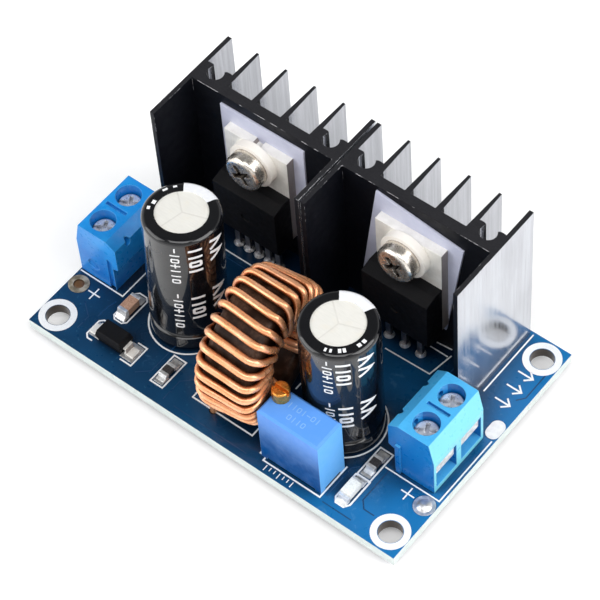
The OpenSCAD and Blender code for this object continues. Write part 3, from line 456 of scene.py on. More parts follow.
def wire_look():
    """Enamelled copper, with a painted highlight on the turns' crowns and painted shade,
    brown, where they come near the core.

    The lift off the core is the length of the steps past its rounded section, across the rim and
    along the axis, less the rounding.
    """
    look = Look("winding_wire", Coat_Weight=0.3, Coat_Roughness=0.12, Metallic=0.6)
    axial, across = look.turned(look.minus(look.x, COIL.x), look.minus(look.y, COIL.y), YAW)
    radius = look.length(across, look.minus(look.z, COIL.z))
    rim = look.minus(look.size(look.minus(radius, CORE_MID_R)), CORE_THICK / 2 - CORE_ROUND)
    face = look.minus(look.size(axial), CORE_HALF - CORE_ROUND)
    lift = look.minus(look.length(look.either(rim, 0.0), look.either(face, 0.0)), CORE_ROUND)
    tint = look.ramp(look.noise(2.2, 3), 0.35, 0.7)
    shade = look.mix(tint, (0.95, 0.42, 0.19), (1.0, 0.53, 0.30))
    # Painted highlight and painted shade: pale on the crowns, brown, then near black, as the turns
    # come near the core.
    shade = look.mix(look.ramp(lift, 0.50, 1.05), (0.42, 0.085, 0.016), shade)
    shade = look.mix(look.ramp(lift, 0.15, 0.60), (0.030, 0.006, 0.002), shade)
    # Painted shade: darker still in the crevices between the turns.
    deep = look.ramp(look.shadowed(3.0, 16), 0.08, 0.50)
    shade = look.mix(deep, (0.045, 0.010, 0.003), shade)
    look.colour(shade).rough(look.between(look.noise(1.0, 2), 0.24, 0.34))
    return look.relief(look.noise(1.0, 2), 0.004)


def core_look():
    """Coated powder ring, brown, darker in patches and slightly pitted."""
    look = Look("core_coating", Specular_IOR_Level=0.15)
    pits, patches = look.noise(0.2, 4), look.noise(2.6, 4)
    shade = look.mix(look.ramp(pits, 0.35, 0.7), (0.050, 0.024, 0.014), (0.095, 0.050, 0.033))
    shade = look.mix(look.ramp(patches, 0.40, 0.62), (0.018, 0.0075, 0.004), shade)
    look.colour(shade).rough(look.between(pits, 0.30, 0.45))
    return look.relief(pits, 0.02, 0.1)


def trimmer_look():
    """Blue moulding whose wide front is painted darker towards its foot as painted shade; its
    narrow sides and top are painted paler as painted light, and its edges carry a painted
    highlight.
    """
    look = Look("trimmer_plastic", Coat_Weight=0.04, Coat_Roughness=0.2, Specular_IOR_Level=0.10)
    # Painted shade: the wide front darkens towards its foot.
    uneven_z = look.plus(look.z, look.both(look.noise(3, 2), 0.8))
    up = look.ramp(uneven_z, low("trimmer_body").z + 3.5, high("trimmer_body").z - 0.1)
    wide = look.mix(up, (0.000, 0.062, 0.240), (0.110, 0.290, 0.74))
    # Painted light: the narrow sides are a paler, lit copy of the blue.
    narrow = look.mix(look.both(up, 0.5), (0.130, 0.430, 0.86), (0.170, 0.490, 0.93))
    shade = look.mix(look.less(look.ny, -FACING), narrow, wide)
    # Painted light: the top is a paler, lit copy too.
    shade = look.mix(look.more(look.nz, FACING), shade, (0.105, 0.320, 0.84))
    flow = look.ramp(look.noise(1.8, 4), 0.4, 0.7)
    shade = look.mix(look.both(flow, 0.10), shade, (0.22, 0.42, 0.86))
    # Painted highlight on the edges.
    shade = look.mix(look.both(look.edges(MOULD_EDGE, 3), 0.5), shade, (0.30, 0.52, 0.92))
    look.colour(shade).rough(look.between(look.noise(0.7), 0.34, 0.48))
    return look.relief(look.noise(0.25, 3), 0.010, 0.16)


def terminal_look(end):
    """Clear blue moulding of a screw terminal, painted paler upwards as painted light, with a
    painted highlight on its edges;
    the output one is a lit copy in paler tones, painted more cyan on top and on its wire side past
    the screws' wells, and deeper on its front as painted shade."""
    look = Look("terminal_" + end, Coat_Weight=0.12, Coat_Roughness=0.18, Specular_IOR_Level=0.25)
    output = end == "output"
    deep, pale = (0.003, 0.148, 0.55), (0.018, 0.320, 0.80)
    # Painted light: the output terminal is a lit copy in paler tones of the same blue.
    if output:
        deep, pale = (0.003, 0.190, 0.58), (0.030, 0.400, 0.84)
    # Painted shade: darker towards the board, paler upwards.
    up = look.ramp(look.z, TOP, TOP + 9)
    flow = look.ramp(look.noise(2.4, 4), 0.35, 0.7)
    shade = look.mix(look.plus(look.both(up, 0.5), look.both(flow, 0.35)), deep, pale)
    if output:
        # Painted light: more cyan on the top and on the wire side.
        top = look.more(look.nz, FACING)
        shade = look.mix(look.both(top, 0.45), shade, (0.12, 0.52, 0.84))
        past_well = look.more(look.x, middle("output_screw_plus").x + 1.8)
        wire_side = look.both(look.ramp(look.nx, 0.15, 0.45), past_well)
        shade = look.mix(look.both(wire_side, 0.75), shade, (0.24, 0.72, 0.78))
    # Painted highlight on the edges.
    shade = look.mix(look.both(look.edges(MOULD_EDGE, 3), 0.6), shade, (0.25, 0.66, 0.96))
    if output:
        # Painted shade on the output terminal's front.
        front = look.less(look.ny, -FACING)
        shade = look.mix(look.both(front, 0.8), shade, (0.002, 0.125, 0.42))
    look.colour(shade).rough(look.between(look.noise(0.8), 0.26, 0.40))
    return look.relief(look.noise(1.6, 2), 0.004, 0.15)


def ceramic_look(name, tone, light):
    """Fired ceramic or glass-coated chip with a fine grain and a painted highlight on its edges."""
    look = Look(name)
    grain = look.noise(0.15, 3)
    shade = look.mix(look.ramp(grain, 0.35, 0.65), tone, light)
    # Painted highlight on the edges.
    look.colour(look.mix(look.both(look.edges(0.08, 4), 0.5), shade, light))
    return look.rough(look.between(grain, 0.3, 0.5)).relief(grain, 0.01, 0.08)


PLASTICS = {  # tone, roughness, tone of the flow marks and of the painted highlight on the edges, shine
    "insulating_pad": ((0.52, 0.54, 0.68), 0.5, (0.74, 0.75, 0.86)),
    "bushing": ((0.86, 0.82, 0.76), 0.4, (0.96, 0.94, 0.90)),
    "device_plastic": ((0.003, 0.003, 0.004), 0.5, (0.009, 0.009, 0.011), 0.18),
    "bung_rubber": ((0.02, 0.02, 0.02), 0.6),
    "potting": ((0.52, 0.46, 0.34), 0.5),
    "flux": ((0.10, 0.045, 0.016), 0.3, (0.20, 0.10, 0.04)),
}
METALS = {  # tone, roughness, depth of the lumps, how metallic
    "solder": ((0.93, 0.93, 0.93), 0.30, 0.004, 0.75),
    "brass": ((0.95, 0.42, 0.09), 0.22),
    "contact_metal": ((0.96, 0.96, 0.95), 0.34, 0.004),
    "lead_metal": ((0.34, 0.34, 0.37), 0.30, 0.004),
    "pad_tin": ((0.80, 0.80, 0.80), 0.30),
}
CERAMICS = {  # tone, tone of the lighter grain and of the painted highlight on the edges
    "ceramic_body": ((0.40, 0.22, 0.14), (0.58, 0.36, 0.26)),
    "chip_body": ((0.018, 0.016, 0.018), (0.06, 0.055, 0.055)),
    "indicator_body": ((0.78, 0.78, 0.72), (0.95, 0.95, 0.92)),
}
MAKERS = {
    **{name: partial(plastic_look, name, *values) for name, values in PLASTICS.items()},
    **{name: partial(solder_look, name, *values) for name, values in METALS.items()},
    **{name: partial(ceramic_look, name, *values) for name, values in CERAMICS.items()},
    "board": board_look, "core": core_look, "copper": wire_look, "trimmer": trimmer_look,
    "screw": screw_look, "well_screw": well_screw_look, "device_metal": tab_look,
    "test_pad": test_pad_look,
}
BY_END = {"can": can_top_look, "sleeve": sleeve_look, "heatsink": heatsink_look,
          "terminal": terminal_look}
LOOK_OF_SLOT = {"bung": "bung_rubber", "brass_screw": "brass", "contact": "contact_metal",
                "ceramic": "ceramic_body", "chip": "chip_body", "led": "indicator_body"}
LOOK_OF_NODE = {"regulator_leads": "lead_metal", "rectifier_leads": "lead_metal",
                "test_pads": "test_pad",
                **{f"{end}_screw_{sign}": "well_screw" for end in ENDS for sign in SIGNS}}
looks = {}


def look_for(slot_name, node_name=""):
    """Material of a node's slot, made once: a few nodes have a look of their own, and four looks
    differ between the two ends."""
    look_name = LOOK_OF_NODE.get(node_name, LOOK_OF_SLOT.get(slot_name, slot_name))
    if look_name in BY_END:
        end = "input" if "input" in node_name else "output"
        key, maker = f"{look_name}_{end}", partial(BY_END[look_name], end)
    else:
        key, maker = look_name, MAKERS[look_name]
    if key not in looks:
        looks[key] = maker().material
    return looks[key]


for node_name, node_object in NODES.items():
    for material_slot in node_object.material_slots:
        slot_name = material_slot.material.name.split(".")[0]
        material_slot.material = look_for(slot_name, node_name)


# ---- Meshes made here ----

FOOT = 0.004  # a stroke's lower edges stand this far off the face under it
LAYER, LAYERS = 0.0008, 7  # strokes that cross differ in height by so many small steps
WHOLE = 60.0  # longer than any stroke on the board, so that none is divided
CURVED, MARKED = 0.25, 0.5  # longest part of a stroke on a sleeve and on the trimmer
SHARPEST = 0.5  # least cosine of a mitre, which keeps a sharp corner short


def unit(rows):
    """Each row divided by its own length."""
    return rows / np.linalg.norm(rows, axis=-1, keepdims=True)


def grid_faces(rings, sides, looped, start):
    """Faces of a grid of rings whose first point is number start: quad (r, s) joins sides s and
    s + 1 of rings r and r + 1, both counted round; a grid that isn't looped gets one flat face at
    each end."""
    r = np.arange(rings if looped else rings - 1)[:, None]
    s = np.arange(sides)[None, :]
    near, far, turn = r * sides + start, (r + 1) % rings * sides + start, (s + 1) % sides
    faces = np.stack([near + s, near + turn, far + turn, far + s], -1).reshape(-1, 4).tolist()
    if not looped:
        end = start + (rings - 1) * sides
        faces += [list(range(start, start + sides))[::-1], list(range(end, end + sides))]
    return faces


def add_object(name, data):
    """New object in the scene."""
    thing = bpy.data.objects.new(name, data)
    bpy.context.scene.collection.objects.link(thing)
    return thing


def add_grids(name, grids, material, smooth=False):
    """One piece on the board's body from grids of points in millimetres, each with its looped
    mark."""
    points, faces, start = [], [], 0
    for grid, looped in grids:
        faces += grid_faces(*grid.shape[:2], looped, start)
        points.append(grid.reshape(-1, 3))
        start += len(points[-1])
    mesh = bpy.data.meshes.new(name)
    mesh.from_pydata(np.concatenate(points) * MM, [], faces)
    mesh.validate()
    mesh.update()
    mesh.polygons.foreach_set("use_smooth", [smooth] * len(mesh.polygons))
    mesh.materials.append(material)
    piece = add_object(name, mesh)
    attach(piece, "board")
    return piece


def divided(line, step):
    """Line with each stretch cut into equal parts no longer than step: point k of a stretch is its
    start times one less the share k / parts, plus its end times that share."""
    lengths = np.linalg.norm(np.diff(line, axis=0), axis=1)
    counts = np.maximum(1, np.ceil(lengths / step)).astype(int)
    stretch = np.repeat(np.arange(len(counts)), counts)
    part = np.arange(counts.sum()) - np.repeat(np.cumsum(counts) - counts, counts)
    share = (part / counts[stretch])[:, None]
    return np.vstack([line[stretch] * (1 - share) + line[stretch + 1] * share, line[-1:]])


def stroke_grid(line, width, closed, place, height, step):
    """Flat stroke: every corner moves to both sides along its mitre by half the width over the
    mitre's cosine, low and high, and place(points, lift) lays the four edges on a surface."""
    line = np.array(line, float)
    line = divided(np.vstack([line, line[:1]]) if closed else line, step)
    if closed:
        line = line[:-1]
    ahead = unit(np.roll(line, -1, 0) - line)
    if not closed:
        ahead[-1] = ahead[-2]
    behind = np.roll(ahead, 1, 0)
    if not closed:
        behind[0] = ahead[0]
    quarter_turn = np.array([[0, 1], [-1, 0]])
    mitre = unit((ahead + behind) @ quarter_turn)
    cosine = (mitre * (behind @ quarter_turn)).sum(1, keepdims=True)
    reach = width / 2 / np.maximum(SHARPEST, cosine)
    left, right = line + reach * mitre, line - reach * mitre
    edges = [place(left, FOOT), place(left, height), place(right, height), place(right, FOOT)]
    return np.stack(edges, 1), closed


def add_strokes(name, strokes, place, material, height, step=WHOLE):
    """One piece from strokes, each a line of points, a width and whether it is closed."""
    grids = [stroke_grid(*stroke, place, height + LAYER * (k % LAYERS), step)
             for k, stroke in enumerate(strokes)]
    return add_grids(name, grids, material)


def on_board(points, lift):
    """The board's upper face: (x, y) at the height of the face and the lift."""
    return np.column_stack([points, np.full(len(points), TOP + lift)])


def circle(x, y, r, count=48):
    """Centre plus the radius times the cosine and sine of equal angles."""
    angles = np.arange(count) * math.tau / count
    return np.column_stack([x + r * np.cos(angles), y + r * np.sin(angles)])


def outline(x, y, half_x, half_y, cut=0.0):
    """Rectangle about a centre: the four corners, or two points a cut away from each of them."""
    near_x, near_y = half_x - cut, half_y - cut
    if not cut:
        corners = [(-half_x, -half_y), (half_x, -half_y), (half_x, half_y), (-half_x, half_y)]
    else:
        corners = [(-near_x, -half_y), (near_x, -half_y), (half_x, -near_y), (half_x, near_y),
                   (near_x, half_y), (-near_x, half_y), (-half_x, near_y), (-half_x, -near_y)]
    return np.array(corners) + (x, y)


# ---- Printing, tracks and pads on the board ----

FINE, THIN, LINE, BOLD = 0.14, 0.20, 0.22, 0.24  # widths of printed lines
TRACK_WIDTH = 0.16
INK_HEIGHT, TRACK_HEIGHT, PAD_HEIGHT = 0.022, 0.008, 0.05
HOLE_IN_X, HOLE_IN_Y = 2.6, 2.8  # a mounting hole's distances from the board's sides
HOLE_RING_R, HOLE_RING_WIDTH, CAN_RING_R = 2.12, 0.9, 5.45
CHIP_HALF_X, CHIP_HALF_Y, TEST_PAD_R = 0.625, 0.55, 1.45
TICKS, TICK_PITCH = 7, 0.7
printed = []


def draw(line, width=LINE, closed=False):
    """Adds one printed line to the board."""
    printed.append((line, width, closed))


def about(place, *points):
    """Points given from a place."""
    return [(place.x + x, place.y + y) for x, y in points]


def from_corner(*points):
    """Points given from the board's front left corner."""
    return about(BOARD_LOW, *points)


CERAMIC, DIODE = middle("ceramic_capacitor_body"), middle("small_diode_body")
LED = middle("indicator_body")
CHIP_LOW, CHIP_HIGH = low("chip_resistor_bodies"), high("chip_resistor_bodies")
CHIPS = [(CHIP_LOW.x + CHIP_HALF_X, CHIP_LOW.y + CHIP_HALF_Y),
         (CHIP_HIGH.x - CHIP_HALF_X, CHIP_HIGH.y - CHIP_HALF_Y)]
CAN_BASES = {
    "input": (middle("input_capacitor_bung").x, BOARD_LOW.y + 12.55),
    "output": tuple(middle("output_capacitor_bung"))[:2],
}
TERM_IN_LOW, TERM_IN_HIGH = low("input_terminal_housing"), high("input_terminal_housing")
TERM_OUT_LOW, TERM_OUT_HIGH = low("output_terminal_housing"), high("output_terminal_housing")
TRIM_LOW, TRIM_HIGH = low("trimmer_body"), high("trimmer_body")

# Rings round the mounting holes and the cans
for sx in (-1, 1):
    for sy in (-1, 1):
        hole = sx * (BOARD_HIGH.x - HOLE_IN_X), sy * (BOARD_HIGH.y - HOLE_IN_Y)
        draw(circle(*hole, HOLE_RING_R), HOLE_RING_WIDTH, True)
for x, y in CAN_BASES.values():
    draw(circle(x, y, CAN_RING_R, 64), LINE, True)

# Frames of the coil, the trimmer, the terminals and the power devices
draw(from_corner((24.9, 11.0), (25.1, 3.5), (34.9, 3.5), (34.9, 5.2)))
draw(from_corner((34.9, 12.3), (34.9, 13.4)))
draw([
    (TRIM_LOW.x - 0.35, TRIM_HIGH.y + 0.3), (TRIM_LOW.x - 0.35, TRIM_LOW.y + 0.2),
    (TRIM_LOW.x + 0.6, TRIM_LOW.y + 0.2), (TRIM_LOW.x + 0.6, TRIM_LOW.y - 0.45),
    (TRIM_HIGH.x + 0.15, TRIM_LOW.y - 0.45), (TRIM_HIGH.x + 0.15, TRIM_HIGH.y + 0.3),
])
draw([
    (TERM_IN_LOW.x, TERM_IN_LOW.y - 0.3), (TERM_IN_HIGH.x + 0.35, TERM_IN_LOW.y - 0.3),
    (TERM_IN_HIGH.x + 0.35, TERM_IN_HIGH.y),
], THIN)
draw([
    (TERM_OUT_LOW.x - 0.2, TERM_OUT_LOW.y - 0.3), (BOARD_HIGH.x - 0.4, TERM_OUT_LOW.y - 0.3),
    (BOARD_HIGH.x - 0.4, TERM_OUT_HIGH.y + 0.2),
], THIN)
draw(from_corner((40.2, 24.1), (47.2, 24.3), (47.8, 28.2)), THIN)
draw(from_corner((44.3, 27.8), (47.5, 27.8)), THIN)
draw(from_corner((45.0, 28.8), (47.3, 29.0)), THIN)
draw(from_corner((13.0, 24.1), (24.5, 24.1)), THIN)
draw(from_corner((54.3, 26.3), (54.3, 37.1)), THIN)

# Frames of the small parts
draw(outline(CERAMIC.x + 0.05, CERAMIC.y, 1.1, 2.55, 0.5), THIN, True)
draw(about(DIODE, (-2.5, -1.7), (-3.3, -1.7), (-3.8, -1.2), (-3.8, 1.2), (-3.3, 1.7), (-2.5, 1.7)))
draw(about(DIODE, (2.3, -1.7), (4.15, -1.7), (4.15, 1.6), (2.6, 1.6)))
for x, y in CHIPS:
    draw(outline(x, y, 1.0, 2.4), LINE, True)
draw(about(LED, (-1.1, 2.35), (-1.1, -1.7), (-0.6, -2.4), (0.6, -2.4), (1.1, -1.7), (1.1, 2.35)),
     BOLD, True)

# Plus signs, arrows towards the output and a scale for the trimmer
for x, y in from_corner((4.2, 8.2), (55.8, 8.4)):
    draw([(x - 1.0, y), (x + 1.0, y)], THIN)
    draw([(x, y - 1.0), (x, y + 1.0)], THIN)
for x, y in from_corner((57.2, 26.4), (57.2, 28.9), (57.2, 31.4)):
    draw([(x - 1.2, y), (x + 1.1, y)], BOLD)
    draw([(x + 0.2, y - 0.8), (x + 1.1, y), (x + 0.2, y + 0.8)], BOLD)
for i in range(TICKS):
    x, far = TRIM_LOW.x + 1.5 + TICK_PITCH * i, 1.3 if i % 3 else 1.6
    draw([(x, TRIM_LOW.y - 0.75), (x, TRIM_LOW.y - far)], FINE)
INK = print_look("ink_white", (0.84, 0.86, 0.88)).material
add_strokes("board_print", printed, on_board, INK, INK_HEIGHT)

TRACKS = [
    from_corner((4.0, 6.6), (6.0, 5.0), (6.0, 2.8)),
    from_corner((7.4, 9.0), (7.0, 7.6), (7.0, 5.8)),
    from_corner((16.6, 2.0), (18.2, 3.4), (18.2, 9.0)),
    from_corner((21.8, 7.4), (23.4, 8.8), (24.4, 8.8)),
    from_corner((22.2, 1.0), (22.2, 4.4), (24.2, 6.2)),
    from_corner((47.9, 2.2), (47.9, 7.2), (48.6, 8.0)),
    from_corner((51.9, 9.6), (51.9, 4.4), (52.8, 3.4), (54.4, 3.4)),
    from_corner((52.5, 1.2), (48.0, 1.2)),
    from_corner((36.0, 1.0), (24.0, 1.0)),
    from_corner((12.6, 23.2), (19.4, 23.2), (20.6, 22.0), (20.6, 16.8)),
    from_corner((36.4, 23.6), (36.4, 16.2)),
    from_corner((49.2, 21.6), (49.2, 28.0)),
    from_corner((59.2, 33.0), (59.2, 28.6), (58.4, 27.6)),
]
tracks = [(line, TRACK_WIDTH, False) for line in TRACKS]
add_strokes("board_tracks", tracks, on_board, track_look().material, TRACK_HEIGHT)

PADS = (  # centre and half sizes
    (CERAMIC.x, CERAMIC.y - 1.75, 0.85, 0.55), (CERAMIC.x, CERAMIC.y + 1.75, 0.85, 0.55),
    (DIODE.x - 2.75, DIODE.y, 0.85, 1.1), (DIODE.x + 2.95, DIODE.y, 1.0, 1.35),
    (LED.x, LED.y - 1.75, 0.8, 0.5), (LED.x, LED.y + 1.75, 0.8, 0.5),
    *[(x, y + s * 1.45, 0.75, 0.7) for x, y in CHIPS for s in (-1, 1)],
)
pads = [([(x - half_x, y), (x + half_x, y)], 2 * half_y, False) for x, y, half_x, half_y in PADS]
add_strokes("solder_pads", pads, on_board, look_for("pad_tin"), PAD_HEIGHT)

# Plug of flux in the input test pad
FLUX = low("test_pads").x + TEST_PAD_R, low("test_pads").y + TEST_PAD_R
rim, crown = circle(*FLUX, 0.74, 32), circle(*FLUX, 0.45, 32)
plug = np.stack([on_board(rim, -0.6), on_board(rim, -0.05), on_board(crown, 0.0)])
add_grids("pad_flux", [(plug, False)], look_for("flux"), True)


# ---- Printing on the capacitor sleeves: plain bars and signs ----

SLEEVE_R = (high("output_capacitor_sleeve").x - low("output_capacitor_sleeve").x) / 2
SLEEVE_TOP = high("output_capacitor_sleeve").z - TOP
SEAT_R = 4.3  # the leaning can stands on the edge of its foot, this far from its axis
SLEEVE_INK, LIP_INK, MARK_HEIGHT = 0.03, 0.02, 0.02


def stood(end, x, y, z):
    """Points about a can's own axis, leant by the can's lean and moved to its foot."""
    lean = CAN_LEAN[end]
    c, s = math.cos(lean), math.sin(lean)
    leant = np.array([[1, 0, 0], [0, c, -s], [0, s, c]])
    return np.column_stack([x, y, z + SEAT_R * math.tan(lean)]) @ leant + (*CAN_BASES[end], TOP)


def on_side(end, azimuth):
    """Sleeve's side: angle azimuth + u / radius, height v, radius plus lift."""
    def place(points, lift):
        angle, r = math.radians(azimuth) + points[:, 0] / SLEEVE_R, SLEEVE_R + lift
        return stood(end, r * np.cos(angle), r * np.sin(angle), points[:, 1])
    return place


def on_lip(end):
    """Sleeve's flat upper ring: (x, y) at the height of the ring and the lift."""
    def place(points, lift):
        return stood(end, points[:, 0], points[:, 1], np.full(len(points), SLEEVE_TOP + lift))
    return place


def signs(start, pitch, kinds, half, width):
    """Column of signs down a surface, a pitch apart and half as wide to each side: bars, minus
    signs, plus signs, boxes and arrows, each a fixed share of the pitch high."""
    result = []
    v = start
    for kind in kinds:
        if kind in "|+":
            result.append(([(-half, v), (half, v)], width, False))
        if kind in "-+":
            result.append(([(0, v - 0.38 * pitch), (0, v + 0.38 * pitch)], width, False))
        if kind == "o":
            result.append((outline(0, v, 0.75 * half, 0.3 * pitch, 0.1 * pitch), width, True))
        if kind == "v":
            line = [(-half, v + 0.36 * pitch), (half, v), (-half, v - 0.36 * pitch)]
            result.append((line, width, False))
        v -= pitch
    return result


COLUMNS = (  # two starts, pitch, signs, half width, line's width, angle on each can
    ((20.2, 11.2), 1.0, "-|o+||o", 0.62, 0.20, {"input": -61, "output": -69}),
    ((19.9, 10.6), 1.3, "||o|", 0.92, 0.36, {"input": -32, "output": -47}),
    ((19.6, 10.4), 2.1, "vv", 1.05, 0.42, {"input": 3, "output": -14}),
)
for end in ENDS:
    for k, (starts, *sign_values, azimuths) in enumerate(COLUMNS):
        column = [stroke for start in starts for stroke in signs(start, *sign_values)]
        add_strokes(f"sleeve_print_{end}_{k + 1}", column, on_side(end, azimuths[end]), INK,
                    SLEEVE_INK, CURVED)

LIP_BARS = {  # angle, nearer and further radius, width
    "input": ((141, 4.1, 4.4, 0.5), (159, 4.1, 4.4, 0.7), (193, 3.6, 4.1, 0.6),
              (208, 4.0, 4.4, 0.5)),
    "output": ((-74, 3.9, 4.4, 0.3), (-65, 3.9, 4.4, 0.3), (-50, 3.8, 4.4, 0.4),
               (-42, 3.8, 4.4, 0.4), (-15, 3.9, 4.4, 0.5), (-4, 3.9, 4.4, 0.5)),
}
for end, bars in LIP_BARS.items():
    lines = []
    for angle, near, far, width in bars:
        toward = np.array([math.cos(math.radians(angle)), math.sin(math.radians(angle))])
        lines.append(([near * toward, far * toward], width, False))
    add_strokes(f"sleeve_print_{end}_lip", lines, on_lip(end), INK, LIP_INK)


# ---- Raised marks on the trimmer: plain bars and rings ----

def on_trimmer(row):
    """The trimmer's top: u across it from the row, v along it from the middle of its length."""
    def place(points, lift):
        x = (TRIM_LOW.x + TRIM_HIGH.x) / 2 - points[:, 1]
        y = TRIM_LOW.y + row + points[:, 0]
        return np.column_stack([x, y, np.full(len(points), TRIM_HIGH.z + lift)])
    return place


MOULDED = print_look("trimmer_mark", (0.22, 0.46, 0.86)).material
for k, (row, start, kinds) in enumerate(((3.1, 1.9, "||o|-o|"), (1.6, 0.9, "o||o"))):
    marks = signs(start, 0.72, kinds, 0.42, 0.11)
    add_strokes(f"trimmer_marks_{k + 1}", marks, on_trimmer(row), MOULDED,
                MARK_HEIGHT, MARKED)


# ---- Winding, smoother than the solid it stands for ----

TURNS, ARC = 24, 270.0  # the first and last turns lie this many degrees apart
CROWDING = 0.12  # share by which the turns crowd at both ends of the rim
STAGGER = 0.65  # in the bore every second turn lies this much further in
BORE_SLANT = 0.5  # degrees that a turn moves on within the bore, to each side
STEP = ARC / (TURNS - 1)
OUT_R, IN_R = CORE_R + WRAP + WIRE_R, BORE_R - WRAP - WIRE_R
HALF, BEND = CORE_HALF + WRAP + WIRE_R, CORE_ROUND + WRAP + WIRE_R
FACE_R = (OUT_R + IN_R) / 2
LEAD_RISE = 0.9  # height above the board up to which the leads are straight


def corner(side, rim, angle):
    """Axial place and radius of the wire where it bends round an edge of the core: the bend's
    centre plus its radius times the cosine and sine of the angle from the axis."""
    a = math.radians(angle)
    middle_r = OUT_R - BEND if rim > 0 else IN_R + BEND
    return side * (HALF - BEND + BEND * math.cos(a)), middle_r + rim * BEND * math.sin(a)


# Points of one turn round the core's section, each one's place among the five angles at which the
# turn meets the corners, and the points that lie in the bore
SECTION = np.array([
    corner(-1, 1, 90), (0, OUT_R), corner(1, 1, 90), corner(1, 1, 45), corner(1, 1, 0),
    (HALF, FACE_R), corner(1, -1, 0), corner(1, -1, 45), corner(1, -1, 90),
    (0, IN_R), corner(-1, -1, 90), corner(-1, -1, 45), corner(-1, -1, 0),
    (-HALF, FACE_R), corner(-1, 1, 0), corner(-1, 1, 45),
])
SHARE = np.array([0, 0.5, 1, 1.1, 1.2, 1.5, 1.8, 1.9, 2, 2.5, 3, 3.1, 3.2, 3.5, 3.8, 3.9])
IN_BORE = np.isin(np.arange(len(SECTION)), range(6, 13))


def rim_angle(turn):
    """Angle of a turn on the rim: even steps plus a sine, so the turns crowd at both ends, less
    a quarter of a step."""
    s = 2 * turn / (TURNS - 1) - 1
    return 90 + ARC / 2 * (s + CROWDING * np.sin(np.pi * s) / np.pi) - 0.25 * STEP


def meets(turn):
    """The five angles at which a turn meets the corners of the core's section: a quarter of a step
    to each side of its place on the rim, then its even place in the bore, then the next turn's
    first."""
    slant, bore = STEP / 4, 90 - ARC / 2 + turn * STEP
    return np.stack([rim_angle(turn) - slant, rim_angle(turn) + slant, bore - BORE_SLANT,
                     bore + BORE_SLANT, rim_angle(turn + 1) - slant], -1)


def turn_points():
    """Turns of the wire: point j of turn i is point j of the core's section, at the angle that its
    share gives between the five meeting angles; in the bore every second turn lies further in."""
    turn = np.arange(TURNS)
    angles = meets(turn)
    k = SHARE.astype(int)
    angle = np.radians(angles[:, k] + (SHARE - k) * (angles[:, k + 1] - angles[:, k]))
    radius = SECTION[:, 1] - STAGGER * (turn % 2)[:, None] * IN_BORE
    axial = np.broadcast_to(SECTION[:, 0], angle.shape)
    points = np.stack([axial, radius * np.cos(angle), radius * np.sin(angle)], -1).reshape(-1, 3)
    return points[:-2]


def wire_path():
    """Centreline of the whole wire about the coil's centre, from one lead tip to the other: each
    lead rises straight from the board and curves over to its turn by shares of the bend."""
    first, last = np.radians((meets(0)[0], meets(TURNS - 1)[4]))
    y_first, y_last = OUT_R * math.cos(first), OUT_R * math.cos(last)
    z_first = OUT_R * math.sin(first)
    floor, tip = TOP - COIL.z, -COIL.z
    lift = floor + LEAD_RISE
    start = [(-HALF, y_first, tip), (-HALF, y_first, floor), (-HALF, y_first, lift),
             (-HALF + 0.15 * BEND, y_first, (lift + z_first) / 2),
             (-HALF + 0.45 * BEND, y_first, z_first - 0.25 * BEND)]
    finish = [(-HALF, (OUT_R - BEND) * math.cos(last), (OUT_R - BEND) * math.sin(last)),
              (-HALF, y_last * 0.97, (OUT_R - 0.4 * BEND) * math.sin(last)),
              (-HALF, y_last, lift), (-HALF, y_last, floor), (-HALF, y_last, tip)]
    return np.vstack([start, turn_points(), finish])


def smoothed(path, steps=4):
    """Cubic curve through the points, whose slope at a point is half the step between its
    neighbours."""
    held = np.vstack([path[:1], path, path[-1:]])
    p0, p1, p2, p3 = (held[k:len(held) - 3 + k, None] for k in range(4))
    t = (np.arange(steps) / steps)[:, None]
    curve = 0.5 * (2 * p1 + (p2 - p0) * t + (2 * p0 - 5 * p1 + 4 * p2 - p3) * t ** 2
                   + (3 * p1 - p0 - 3 * p2 + p3) * t ** 3)
    return np.vstack([curve.reshape(-1, 3), path[-1:]])


def wire_grid(path, sides=12):
    """Round wire: circles about the path, square to it, each started from the direction away from
    the circle in the middle of the core's section; then turned by the yaw and moved to the coil."""
    along = unit(np.gradient(path, axis=0))
    spoke = unit(path[:, 1:])
    away = path - np.column_stack([np.zeros(len(path)), CORE_MID_R * spoke])
    side = unit(away - (away * along).sum(1, keepdims=True) * along)
    other = np.cross(along, side)
    angle = (np.arange(sides) * math.tau / sides)[:, None]
    spokes = np.cos(angle) * side[:, None] + np.sin(angle) * other[:, None]
    rings = path[:, None] + WIRE_R * spokes
    c, s = math.cos(YAW), math.sin(YAW)
    return rings @ np.array([[c, s, 0], [-s, c, 0], [0, 0, 1]]) + tuple(COIL)


wire = wire_grid(smoothed(wire_path()))
winding = add_grids("winding_smooth", [(wire, False)], look_for("copper"), True)
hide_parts("inductor_winding")


# ---- Floor, light and camera ----

FLOOR_REACH, FLOOR_GLOW = 3.0, 0.16
SKY_RISE = {"From Min": 0.25, "From Max": 0.75, "To Min": 0.95, "To Max": 0.16}
AIMED_AT = (0, 0, 0.012)
LIGHTS = {  # place, size, power
    "key": ((0.46, 0.12, 0.42), 0.50, 3.0),
    "fill": ((-0.36, -0.40, 0.32), 0.50, 2.0),
    "top": ((0.12, -0.22, 0.62), 0.40, 1.6),
}
AZIMUTH, ELEVATION, ROLL = math.radians(42.790), math.radians(54.265), math.radians(-5.165)
LENS, SENSOR = 160.55, 36
VIEWED, DISTANCE = Vector((1.515, -0.490, 13.1)), 337.09


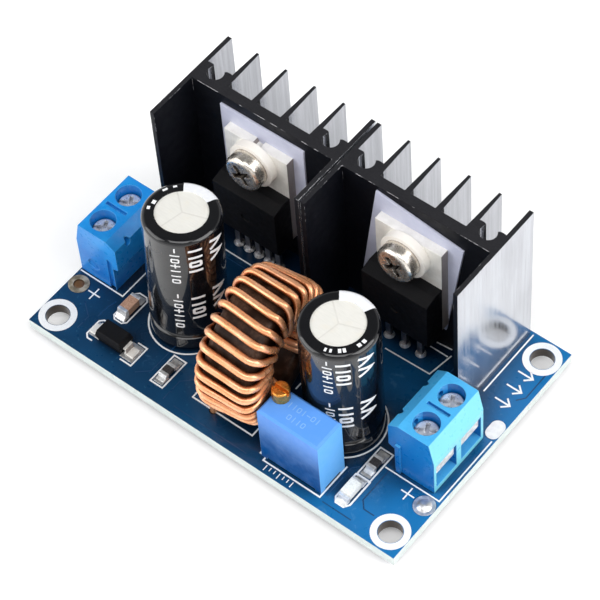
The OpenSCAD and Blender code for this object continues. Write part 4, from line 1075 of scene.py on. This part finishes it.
def floor_look():
    """White paper: the camera, mirrors and glass see it a little brighter, with the object's
    shadow kept."""
    look = Look("floor_paint", Specular_IOR_Level=0.2)
    look.colour(look.mix(look.noise(40), (0.90, 0.90, 0.90), (0.93, 0.93, 0.93))).rough(0.6)
    rays = look.add("ShaderNodeLightPath").outputs
    mirrored = look.either(rays["Is Glossy Ray"], rays["Is Transmission Ray"])
    seen = look.either(rays["Is Camera Ray"], mirrored)
    look.put(look.shader.inputs["Emission Color"], (1, 1, 1))
    look.put(look.shader.inputs["Emission Strength"], look.both(seen, FLOOR_GLOW))
    return look.material


floor_mesh = bpy.data.meshes.new("floor")
floor_mesh.from_pydata([
    (-FLOOR_REACH, -FLOOR_REACH, 0), (FLOOR_REACH, -FLOOR_REACH, 0),
    (FLOOR_REACH, FLOOR_REACH, 0), (-FLOOR_REACH, FLOOR_REACH, 0),
], [], [(0, 1, 2, 3)])
floor_mesh.materials.append(floor_look())
floor = add_object("floor", floor_mesh)

# White world, bright at the horizon and dim overhead
world = bpy.data.worlds.new("studio")
world.use_nodes = True
bpy.context.scene.world = world
tree = world.node_tree
sky = tree.nodes["Background"]
sky.inputs["Color"].default_value = (1.0, 1.0, 1.0, 1)
direction = tree.nodes.new("ShaderNodeTexCoord").outputs["Generated"]
parts = tree.nodes.new("ShaderNodeSeparateXYZ")
fade = tree.nodes.new("ShaderNodeMapRange")
fade.interpolation_type = "SMOOTHSTEP"
for socket, number in SKY_RISE.items():
    fade.inputs[socket].default_value = number
tree.links.new(direction, parts.inputs[0])
tree.links.new(parts.outputs["Z"], fade.inputs["Value"])
tree.links.new(fade.outputs[0], sky.inputs["Strength"])

for name, (place, size, power) in LIGHTS.items():
    light = bpy.data.lights.new(name, "AREA")
    light.size, light.energy = size, power
    lamp = add_object(name, light)
    lamp.location = place
    lamp.rotation_euler = (Vector(AIMED_AT) - Vector(place)).to_track_quat("-Z", "Y").to_euler()

# Camera: back points from the object to it, level lies flat, and both others turn by the roll
back = Vector((math.sin(AZIMUTH) * math.cos(ELEVATION), -math.cos(AZIMUTH) * math.cos(ELEVATION),
               math.sin(ELEVATION)))
level = Vector((0, 0, 1)).cross(back).normalized()
upright = back.cross(level)
right = math.cos(ROLL) * level + math.sin(ROLL) * upright
up = -math.sin(ROLL) * level + math.cos(ROLL) * upright
place = (VIEWED + DISTANCE * back) * MM
camera_data = bpy.data.cameras.new("camera")
camera_data.sensor_width, camera_data.lens = SENSOR, LENS
camera_data.clip_start, camera_data.clip_end = 0.01, 20
camera = add_object("camera", camera_data)
camera.matrix_world = Matrix((
    (right.x, up.x, back.x, place.x), (right.y, up.y, back.y, place.y),
    (right.z, up.z, back.z, place.z), (0, 0, 0, 1),
))
bpy.context.scene.camera = camera
bpy.context.scene.view_settings.view_transform = "Standard"
